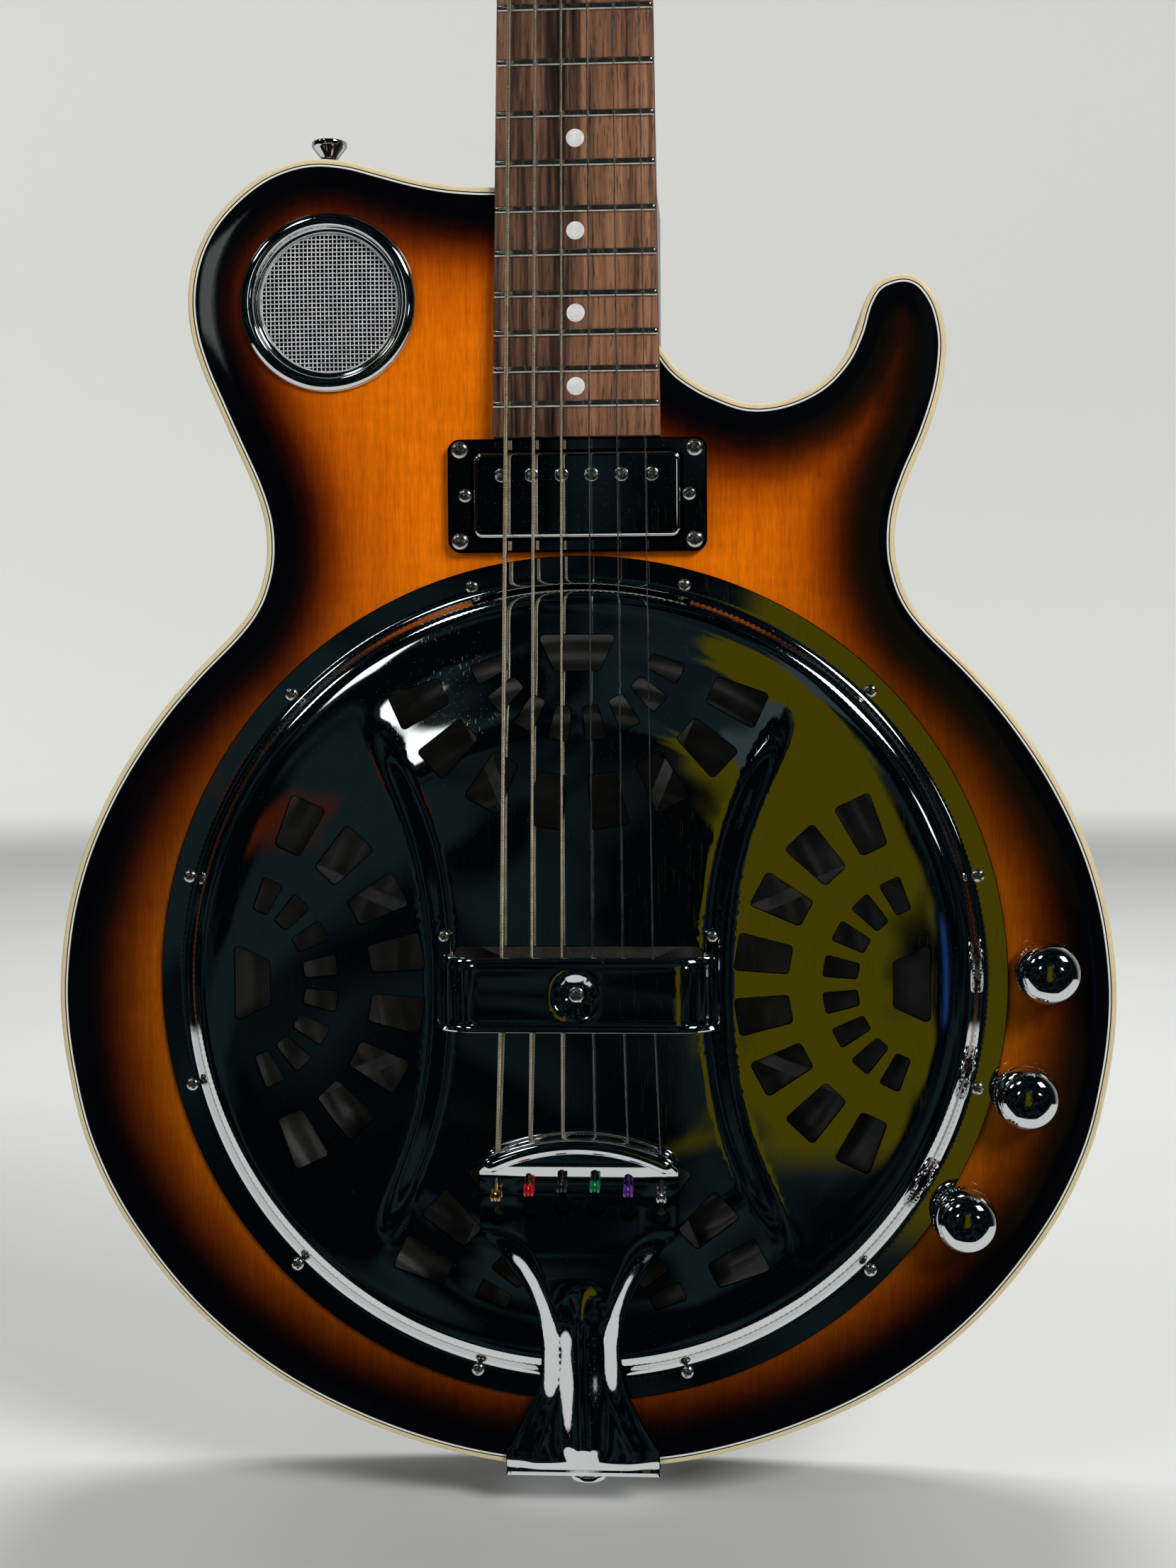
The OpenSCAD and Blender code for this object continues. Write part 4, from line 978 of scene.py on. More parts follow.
def make_palm_rest():
    # arch outline from foot to foot, heights above the body
    arch = []
    for k in range(15):
        a = math.radians(90 * k / 14)
        arch.append((-33 - 13 * math.cos(a), 12.05 + 12.5 * math.sin(a)))
    top = [(-33 + 66 * k / 44, 24.55) for k in range(1, 44)]
    arch = [(-46, 12.0)] + arch + top + [(-x, h) for x, h in reversed(arch)] + [(46, 12.0)]
    A = np.array(arch)
    t = np.gradient(A, axis=0)
    t /= np.linalg.norm(t, axis=1)[:, None]
    nrm = np.stack([-t[:, 1], t[:, 0]], 1)
    ys = [(-14.0, 0.35), (-13.92, 0.8), (-13.7, 1.15), (-13.35, 1.2), (-12.95, 0.85), (-12.5, 0.42), (-12.0, 0.12), (-11.2, -0.05), (-9.5, 0.0), (-7.2, 0.06), (-5, 0.1), (-3.2, 0.12), (-1.7, 0.13), (0, 0.12),
          (2, 0.1), (4, 0.06), (6, 0.0), (7.6, -0.1), (8.8, -0.3), (9.7, -0.62), (10.25, -1.05), (10.5, -1.5)]

    def surf(off):
        rows = []
        for y, o in ys:
            p = A + nrm * (o + off)
            z = p[:, 1].copy()
            d = np.hypot(p[:, 0], y + 1.7)
            dip = np.clip(1 - (d / 7.6) ** 2, 0, 1)
            z -= np.where(np.abs(p[:, 0]) < 12, 2.7 * dip ** 0.9 * (dip > 0), 0)
            z = np.where((p[:, 1] < 13.4) & (off < -0.5), np.maximum(z, 12.0), z)
            rows.append(np.column_stack([p[:, 0], np.full(len(p), y), z]))
        return rows

    o, i_ = surf(0), surf(-1.15)
    secs = [np.vstack([o[0], i_[0][::-1]])]
    m, k = len(A), len(ys)
    V = np.vstack(o + i_)
    f = []
    for r in range(k - 1):
        for c in range(m - 1):
            a = r * m + c
            f.append((a, a + 1, a + m + 1, a + m))
            b = a + k * m
            f.append((b, b + m, b + m + 1, b + 1))
    for c in range(m - 1):
        f.append((c + 1, c, c + k * m, c + 1 + k * m))
        a = (k - 1) * m + c
        f.append((a, a + 1, a + 1 + k * m, a + k * m))
    for r in range(k - 1):
        a = r * m
        f.append((a, a + m, a + m + k * m, a + k * m))
        b = r * m + m - 1
        f.append((b + m, b, b + k * m, b + m + k * m))
    P = Parts().add(V, f)
    for s in (-1, 1):                                # feet
        tab = fillet([(s * 44.6 - 2.3, -13.5), (s * 44.6 + 2.3, -13.5), (s * 44.6 + 2.3, 19), (s * 44.6 - 2.3, 19)], 2.0)
        if area(tab) < 0:
            tab = tab[::-1]
        lv = [np.column_stack([grow(tab, b), np.full(len(tab), z)]) for b, z in ((0, 12.0), (0, 12.75), (0.3, 13.05))]
        P.add(*loft(lv))
    P.done("palm_rest_arch", PF, M["chrome"], nodes="palm_rest")
    # screw seen at the bottom of the dimple
    p = Parts().add(*screw_head(2.5, 0.9), T((0, -1.7, 22.0)))
    p.add(*revolve([(2.4, 21.6), (3.5, 21.75), (3.6, 22.15), (2.9, 22.3), (2.4, 22.1)], 48, closed=True), T((0, -1.7, 0)))
    p.done("dimple_screw", PF, M["screw"], slot="tension_screw")


make_palm_rest()

# ------------------------------------------------------------------ resonator
def make_resonator():
    pr = [(133.3, -5.0), (129, -4.8), (126, -5.0), (123.5, -5.6)]
    n = 46
    for k in range(n + 1):                            # spun side with shallow ribs
        r = 120 - 70 * k / n
        h = -9 - 22 * k / n + 0.28 * math.sin(k * math.pi / 2.3)
        pr.append((r, h))
    pr += [(46, -32.4), (42, -33), (38, -32.8), (34, -32), (29, -27), (24, -22), (20, -20.4), (16, -20), (2.3, -20)]
    full = pr + [(r, h - 0.8) for r, h in reversed(pr)]
    v, f = revolve(full, 220, closed=True)
    build("spun_cone", v, f, PF, M["spun"], nodes="resonator_cone", sharp=50)


make_resonator()

# ------------------------------------------------------------------ tailpiece
TPW_X, TPW_Y = table([(-215, 26.2), (-164, 26.2), (-160.5, 25.4), (-154, 22), (-148, 19), (-138, 15), (-130, 13.6), (-121, 13.4), (-112, 15), (-102, 19), (-93, 25),
                      (-88, 28.2), (-84.5, 31.9), (-81, 33.2), (-58, 33.2), (-40, 33.2)], 1.0, -215, -40)


def tp_profile():
    """Centre line of the sheet's outer face as (z, h), from the flap's lower end to the head."""
    pts = [(-168.2, -42), (-168.2, -2.0)]
    for k in range(1, 13):
        a = math.radians(180 - 90 * k / 12)
        pts.append((-163.2 + 5.0 * math.cos(a), -1.6 + 5.0 * math.sin(a)))
    pts += [(-158, 3.75), (-150, 4.7), (-140, 6.3), (-130, 8.2), (-122, 9.6), (-115, 10.8), (-104, 12.0), (-95, 12.9), (-88, 13.6), (-80, 14.0), (-73, 14.3), (-68, 14.8),
            (-63.5, 15.7), (-59.5, 17.1), (-55, 18.0), (-51, 18.6), (-46, 19.2)]
    return np.array(pts)


TPP = tp_profile()
_tc, _tt = catmull(TPP, 6)
_s = np.concatenate([[0], np.cumsum(np.linalg.norm(np.diff(_tc, axis=0), axis=1))])
# s measured so that s = 0 where z = -88
_s0 = np.interp(-88, _tc[60:, 0], _s[60:])
TPS, TPC = _s - _s0, _tc


def tp_map(x, s, o):
    z = np.interp(s, TPS, TPC[:, 0])
    h = np.interp(s, TPS, TPC[:, 1])
    dz = np.interp(s + 0.5, TPS, TPC[:, 0]) - np.interp(s - 0.5, TPS, TPC[:, 0])
    dh = np.interp(s + 0.5, TPS, TPC[:, 1]) - np.interp(s - 0.5, TPS, TPC[:, 1])
    L = np.hypot(dz, dh)
    nz, nh = -dh / L, dz / L
    w = np.interp(s, TPWS, TPWW)
    u = np.clip(np.abs(x) / w, 0, 1)

    def st(a, b, q):
        q = np.clip((q - a) / (b - a), 0, 1)
        return q * q * (3 - 2 * q)

    along = st(-10, -26, s) * st(-81.5, -70, s)                      # where the stem's ridge stands
    ridge = 2.8 * along * np.exp(-(x / 6.3) ** 2 * 0.9)
    edge = -1.9 * st(0.55, 1.0, u) * (0.35 + 0.65 * st(8, -8, s)) * st(-84, -78, s)
    off = ridge + edge + o
    return np.stack([x, z + nz * off, h + nh * off], 1)


TPWS = np.linspace(TPS[0], TPS[-1], 900)
TPWW = np.interp(np.interp(TPWS, TPS, TPC[:, 0]), TPW_X, TPW_Y)
_flap = TPWS < np.interp(-160, TPC[60:, 0], TPS[60:])
TPWW[_flap] = np.maximum(TPWW[_flap], 26.2)


def s_of_z(z):
    return float(np.interp(z, TPC[60:, 0], TPS[60:]))


KEY_X = [(i - 2.5) * 11 for i in range(6)]
KEY_Z = [-77.5, -75.5, -74, -74, -75.5, -77.5]
KEY_S = [s_of_z(z) for z in KEY_Z]


def make_tailpiece():
    s0 = TPS[0]
    ss = np.linspace(s0, s_of_z(-62), 90)
    right = [(float(np.interp(s, TPWS, TPWW)), s) for s in ss]
    right[0] = (right[0][0] - 3, right[0][1])
    right.insert(1, (right[1][0] - 0.9, right[0][1] + 0.9))
    corner = []
    for k in range(1, 9):                            # rounded shoulders of the head, then the curved front edge
        a = math.radians(90 * k / 9)
        corner.append((28.7 + 4.5 * math.cos(a), s_of_z(-62) + 4.2 * math.sin(a)))
    front = []
    for k in range(0, 41):
        x = 28.7 * (1 - k / 40)
        z = -120 + math.sqrt(68.2 ** 2 - x * x)
        front.append((x, s_of_z(z)))
    half = right + corner + front
    loop = half + [(-x, s) for x, s in reversed(half[:-1])]
    # clean near-duplicates
    L = [np.array(loop[0])]
    for q in loop[1:]:
        if np.linalg.norm(np.array(q) - L[-1]) > 0.25:
            L.append(np.array(q))
    loops = [np.array(L)]
    for x, s in zip(KEY_X, KEY_S):                   # keyholes
        a0 = math.asin(0.85 / 2.65)
        k = [(x + 2.65 * math.cos(a), s + 2.65 * math.sin(a)) for a in np.linspace(math.pi / 2 + a0, 2.5 * math.pi - a0, 26)]
        k += [(x + 0.85 * math.cos(a), s + 12.6 + 0.85 * math.sin(a)) for a in np.linspace(0, math.pi, 8)]
        loops.append(np.array(k))
    g = grid_points((-34, s0), (34, s_of_z(-50)), 1.25)
    build_sheet("tailpiece_stamping", loops, g, tp_map, 1.2, PF, M["chrome_plate"], bevel=0.22, gap=0.55, nodes="tailpiece")
    # rolled bar along the front edge
    pth, rad = [], []
    for k in range(61):
        a = math.radians(61.0 + 58.0 * k / 60)
        e = min(1.0, math.sin(math.pi * min(k, 60 - k, 4) / 8))
        pth.append((67.6 * math.cos(a), -120 + 67.6 * math.sin(a), 18.3))
        rad.append(2.75 * max(0.25, e))
    v, f = tube(pth, rad, 28)
    build("tailpiece_bar", v, f, PF, M["chrome_plate"], slot="tailpiece")


make_tailpiece()

# ------------------------------------------------------------------ strings
SR = [0.67, 0.53, 0.41, 0.23, 0.19, 0.16]
PV, PX = [42, 82, 122], 28


def tf(Mx, p):
    """A local point of NF or HF as a plate-frame point in mm."""
    return np.array((PF.inverted() @ Mx @ Vector(p))[:])


def string_path(i):
    kx, kz = KEY_X[i], KEY_Z[i]
    ball = np.array([kx, kz + 8, 16.6 + 0.25 * (kz + 78)])
    slotp = np.array([kx, kz + 9.4, 13.2])
    sad = np.array([(i - 2.5) * 10, 0, 18.0])
    nut = tf(NF, ((i - 2.5) * 7.1, NUT_Y + 2.5, 1.75 + SR[i]))
    s, j = (-1, i) if i < 3 else (1, 5 - i)
    wind = tf(HF, (s * (PX - 4.2), PV[j] - 5.3, 9))
    return ball, slotp, sad, nut, wind


def eased(points, r):
    """Polyline with its inner corners rounded by short curves."""
    P = [np.array(p, float) for p in points]
    out = [P[0]]
    for a, b, c in zip(P[:-2], P[1:-1], P[2:]):
        u, w = a - b, c - b
        d = min(r, 0.4 * np.linalg.norm(u), 0.4 * np.linalg.norm(w))
        p, q = b + u / np.linalg.norm(u) * d, b + w / np.linalg.norm(w) * d
        for t in np.linspace(0, 1, 7):
            out.append((1 - t) ** 2 * p + 2 * t * (1 - t) * b + t * t * q)
    out.append(P[-1])
    return out


def make_strings():
    w, pl = Parts(), Parts()
    for i in range(6):
        ball, slotp, sad, nut, wind = string_path(i)
        path = eased([ball + [0, 0, -1.2], ball + [0, 0.2, -2.4], slotp + [0, 1.5, 0.4], sad, nut, wind], 1.6)
        if i < 3:
            w.add(*tube(path, SR[i], 14))
        else:
            pl.add(*tube(path, SR[i] * 1.12, 10))
    w.done("wound_strings", PF, M["wound"], nodes="strings_wound")
    pl.done("plain_strings", PF, M["steel"], nodes="strings_plain")
    # ball ends: grooved barrels lying across the slots, with the string's loop round each
    p = Parts()
    mats = [mat_ball(i) for i in range(6)]
    for i in range(6):
        ball, slotp, *_ = string_path(i)
        pr = [(0.85, -1.6), (1.85, -1.6), (2.12, -1.35), (2.15, -0.8), (1.6, -0.5), (1.5, 0), (1.6, 0.5), (2.15, 0.8), (2.12, 1.35), (1.85, 1.6), (0.85, 1.6)]
        v, f = revolve(pr, 36, closed=True)
        p.add(v, f, T(ball) @ Matrix.Rotation(math.pi / 2, 4, 'Y'), i)
        r = max(SR[i], 0.3)
        hel = []
        for k in range(40):
            t = k / 39
            a = t * 2 * math.pi * 4
            hel.append(ball + np.array([0.45 * r * math.cos(a), 1.4 + 5.2 * t * 0.9, -1.9 + 0.45 * r * math.sin(a) - 1.3 * t]))
        loopv = [ball + np.array([0, 1.75 * math.cos(a), 1.75 * math.sin(a)]) for a in np.linspace(0.4, 2 * math.pi - 1.2, 22)]
        p.add(*tube(loopv, min(r, 0.42), 8), mat=i)
    p.done("string_balls", PF, mats, nodes="ball_ends")


make_strings()


# ------------------------------------------------------------------ pickup
PZ = 163.1


def make_pickup():
    holes = [rrect(70, 29.2, 3.4)]
    loops = [rrect(86.6, 37.6, 4)] + holes
    g = grid_points((-43, -18), (43, 18), 4)
    build_sheet("pickup_frame", loops, g, flat_map(0, PZ, 3.4), 3.4, PF, M["chrome"], bevel=0.55, nodes="pickup_ring")
    base = rrect(69, 28.2, 3.0, 10)
    lv = [np.column_stack([base, np.full(len(base), z)]) for z in (-12, 0, 3.9)]
    for k in range(1, 8):
        a = math.radians(90 * k / 7)
        lv.append(np.column_stack([grow(base, 1.5 * (1 - math.cos(a))), np.full(len(base), 4.0 + 1.5 * math.sin(a))]))
    P = Parts().add(*loft(lv))
    P.done("pickup_shell", at(PF, 0, PZ), M["chrome"], nodes="pickup_cover", sharp=50)
    s = Parts()
    for i in range(6):
        x = (i - 2.5) * 10
        s.add(*screw_head(2.3, 0.75, cross=False), T((x, 6.5, 5.5)) @ Matrix.Rotation(0.3 + i * 0.9, 4, 'Z'))
        s.add(*shank(1.5, -16, 5.4), T((x, 6.5, 0)))
    for i in (-1, 1):
        for j in (-1, 1):
            s.add(*screw_head(2.75, 1.6), T((i * 39.2, j * 15.2, 3.45)) @ Matrix.Rotation(0.35 + i + j, 4, 'Z'))
            s.add(*shank(1.2, -8, 3.4), T((i * 39.2, j * 15.2, 0)))
        s.add(*screw_head(2.2, 1.3), T((i * 37.4, 0, 3.45)) @ Matrix.Rotation(0.5 * i, 4, 'Z'))
        s.add(*shank(1.3, -17, 3.4), T((i * 37.4, 0, 0)))
    s.done("pickup_screw_set", at(PF, 0, PZ), M["screw"], nodes="pickup_screws")


make_pickup()


# ------------------------------------------------------------------ sound hole
def make_soundhole():
    Mx = at(PF, -83.5, 228.5)
    pr = [(23.8, -5.3), (26.3, -5.3), (26.3, -0.05), (29.8, -0.05), (30.0, 0.35), (29.85, 0.95), (29.3, 1.7), (28.4, 2.35), (27.2, 2.75), (26.2, 2.75), (25.5, 2.4),
          (25.1, 1.6), (24.9, 0.7), (24.5, 0.25), (24.1, 0.2), (23.75, 0.45), (23.45, 0.3), (23.3, -0.3), (23.5, -1.4)]
    v, f = revolve(pr, 180, closed=True)
    build("soundhole_trim", v, f, Mx, M["chrome"], nodes="soundhole_ring", sharp=75)
    p = Parts()
    pitch, wr, amp, R = 1.42, 0.22, 0.19, 23.9
    n = int(R / pitch)
    for axis in (0, 1):
        for i in range(-n, n + 1):
            c = i * pitch
            if abs(c) > R - 0.6:
                continue
            half = math.sqrt(R * R - c * c)
            m = max(3, int(2 * half / (pitch / 4)))
            pts = []
            for k in range(m + 1):
                t = -half + 2 * half * k / m
                sgn = 1 if (i % 2 == 0) else -1
                z = amp * math.cos(math.pi * t / pitch) * sgn * (1 if axis == 0 else -1)
                rr = math.hypot(t, c) / R
                z += -1.35 + 0.8 * (1 - rr ** 3)
                pts.append((t, c, z) if axis == 0 else (c, t, z))
            p.add(*tube(pts, wr, 5))
    pr = [(22.9, -1.7), (23.9, -1.7), (23.9, -1.0), (22.9, -1.0)]
    p.add(*revolve(pr, 120, closed=True))
    p.done("woven_screen", Mx, M["screen"], nodes="soundhole_mesh", sharp=80)


make_soundhole()


# ------------------------------------------------------------------ knobs
def make_knobs():
    prof = [(3.05, 5.0), (8.2, 5.0), (8.2, 1.85), (9.7, 1.85), (10.3, 2.1), (10.4, 2.5), (10.4, 5.6), (10.3, 6.0), (9.95, 6.3), (9.95, 6.7),
            (10.3, 7.1), (10.4, 8.2), (10.4, 10.2), (10.3, 11.4), (10.05, 12.6), (9.65, 13.7), (9.05, 14.75), (8.3, 15.65), (7.4, 16.4), (6.3, 17.0), (5.1, 17.45),
            (3.7, 17.75), (2.2, 17.93), (1.0, 17.98), (0, 18.0)]
    inner = [(0, 15.2), (3.05, 15.2)]

    def mod(i, a):
        return 1 + (0.016 * math.cos(44 * a) if 4 <= i <= 6 else 0)

    for nm, (x, z) in {"volume": (155, 4), "tone": (148, -37.5), "blend": (128, -78.5)}.items():
        v1, f1 = revolve(prof, 176, mod=mod)
        v2, f2 = revolve(inner, 176)
        k = len(v1)
        f = list(f1) + [tuple(i + k for i in q) for q in f2]
        f += [(k + 1 + j, j, (j + 1) % 176, k + 1 + (j + 1) % 176) for j in range(176)]
        build("knob_cap_" + nm, np.vstack([v1, v2]), f, at(PF, x, z), M["chrome"], nodes="knob_" + nm, body=nm + "_control", sharp=45)
        paint("pot_shaft_" + nm, M["nickel"])


make_knobs()

# ------------------------------------------------------------------ neck and board
def board_hw(y):
    return 28 - (28 - 21.4) * y / NUT_Y


def fret_y(n):
    return NUT_Y - 648 * (1 - 2 ** (-n / 12))


def make_board():
    secs = []
    ys = [0, 0.35] + list(np.linspace(12, NUT_Y - 1, 40)) + [NUT_Y]
    for y in ys:
        e = 0.25 if y == 0 else 0
        w = board_hw(y) - e
        r = [(-w, -6), (-w, -0.75), (-w + 0.18, -0.36), (-w + 0.6, -0.12 - e)] + [(-w + 0.6 + (2 * w - 1.2) * k / 10, -0.12 - e + 0.12 * math.sin(math.pi * k / 10)) for k in range(1, 10)] + \
            [(w - 0.6, -0.12 - e), (w - 0.18, -0.36), (w, -0.75), (w, -6)]
        secs.append([(x, y, z) for x, z in r])
    v, f = loft(secs)
    build("rosewood_board", v, f, NF, M["rosewood"], nodes="fretboard", sharp=60)
    p = Parts()
    for n in range(1, 22):
        y, w = fret_y(n), board_hw(fret_y(n)) - 0.1
        secs = []
        for x, k in [(-w, 0.12), (-w + 0.25, 0.55), (-w + 0.7, 0.86), (-w + 1.3, 1.0)] + [(-w + 1.3 + (2 * w - 2.6) * j / 8, 1) for j in range(1, 8)] + \
                [(w - 1.3, 1.0), (w - 0.7, 0.86), (w - 0.25, 0.55), (w, 0.12)]:
            loop = [(x, y + 1.3 * math.cos(a) * (0.75 + 0.25 * k), 1.05 * k * math.sin(a) - 0.02) for a in np.linspace(0, math.pi, 11)]
            loop += [(x, y - 0.3, -0.5), (x, y + 0.3, -0.5)]
            secs.append(loop)
        p.add(*loft(secs))
    p.done("fret_wires", NF, M["nickel"], nodes="frets", sharp=70)
    p = Parts()
    dots = [(0, (fret_y(n) + fret_y(n - 1)) / 2) for n in (3, 5, 7, 9, 15, 17, 19, 21)] + [(s * 9.5, (fret_y(12) + fret_y(11)) / 2) for s in (-1, 1)]
    for x, y in dots:
        p.add(*revolve([(0, -1), (3, -1), (3, 0.0), (2.9, 0.05), (0, 0.07)], 48), T((x, y, 0)))
    p.done("inlay_dots", NF, M["dot"], nodes="position_dots", sharp=50)


make_board()


def make_neck():
    dep_x, dep_y = table([(60, 52), (84, 52), (94, 51), (100, 47.5), (104, 41), (108, 33), (114, 26.5), (124, 22.6), (136, 21.6), (300, 21.3), (470, 20.6)], 2.5, 60, 470)
    secs = []
    for y in list(np.linspace(82.5, 150, 46)) + list(np.linspace(156, NUT_Y - 8, 44)):
        d = float(np.interp(y, dep_x, dep_y))
        w = board_hw(y) - 0.15
        k = min(1, max(0, (y - 100) / 45))
        ex = 3.2 - 1.05 * k                              # squarer at the heel, round on the shaft
        loop = []
        for j in range(41):
            a = math.pi * j / 40
            cx, sx = math.cos(a), math.sin(a)
            taper = 1 - 0.16 * (1 - k) * abs(sx) ** 3
            loop.append((w * taper * math.copysign(abs(cx) ** (2 / ex), cx), y, -6 - (d - 6) * abs(sx) ** (2 / ex)))
        secs.append(loop)
    # the volute: from the shaft into the back of the headstock
    inv = NF.inverted() @ HF
    for t, (v_, w, d, ex) in enumerate([(-8, 21.6, 17.6, 2.1), (-1, 21.5, 18.2, 2.2), (6, 21.6, 18.0, 2.5), (13, 22.8, 16.8, 3.0), (20, 24.2, 15.2, 4.0), (26, 26.5, 14.3, 7.0)]):
        loop = []
        for j in range(41):
            a = math.pi * j / 40
            cx, sx = math.cos(a), math.sin(a)
            z0 = -2.6 if v_ < 1 else -0.6
            q = inv @ Vector((w * math.copysign(abs(cx) ** (2 / ex), cx), v_, z0 - (d - 0.6) * abs(sx) ** (2 / ex)))
            loop.append(q[:])
        secs.append(loop)
    P = Parts().add(*loft(secs))
    # tongue inside the body
    P.add(*loft([[(-18.4, y, -7), (18.4, y, -7), (18.4, y, -40), (-18.4, y, -40)] for y in (42, 84)]))
    P.done("neck_shaft", NF, M["neck"], nodes="neck", sharp=50)
    half = [(21.3, -1), (21.5, 4), (24, 16), (30, 28), (37, 38), (39, 52), (38.5, 90), (37.5, 125), (36, 150), (31, 163), (22, 170), (11, 173), (0, 174)]
    pts, _ = catmull(half, 6)
    loop = np.vstack([pts, np.column_stack([-pts[::-1][1:, 0], pts[::-1][1:, 1]])])
    if area(loop) < 0:
        loop = loop[::-1]
    lv = [np.column_stack([grow(loop, b), np.full(len(loop), z)]) for b, z in
          ((2.6, -14.5), (1.5, -14.25), (0.7, -13.6), (0.2, -12.6), (0, -11.4), (0, -2.2))]
    Parts().add(*loft(lv)).done("headstock_core", HF, M["neck"], slot="neck")
    lv = [np.column_stack([grow(loop, b), np.full(len(loop), z)]) for b, z in ((0, -2.2), (0, -0.7), (0.2, -0.3), (0.6, 0.0))]
    Parts().add(*loft(lv)).done("headstock_face", HF, M["black"], slot="neck")


make_neck()


def rbox(sx, sy, sz, r, seg=4):
    bm = bmesh.new()
    bmesh.ops.create_cube(bm, size=1)
    for v in bm.verts:
        v.co = Vector((v.co.x * sx, v.co.y * sy, v.co.z * sz))
    bmesh.ops.bevel(bm, geom=list(bm.edges) + list(bm.verts), offset=r, segments=seg, profile=0.5, affect='EDGES')
    vs = [v.co[:] for v in bm.verts]
    fs = [tuple(v.index for v in f.verts) for f in bm.faces]
    bm.verts.index_update()
    fs = [tuple(v.index for v in f.verts) for f in bm.faces]
    bm.free()
    return vs, fs


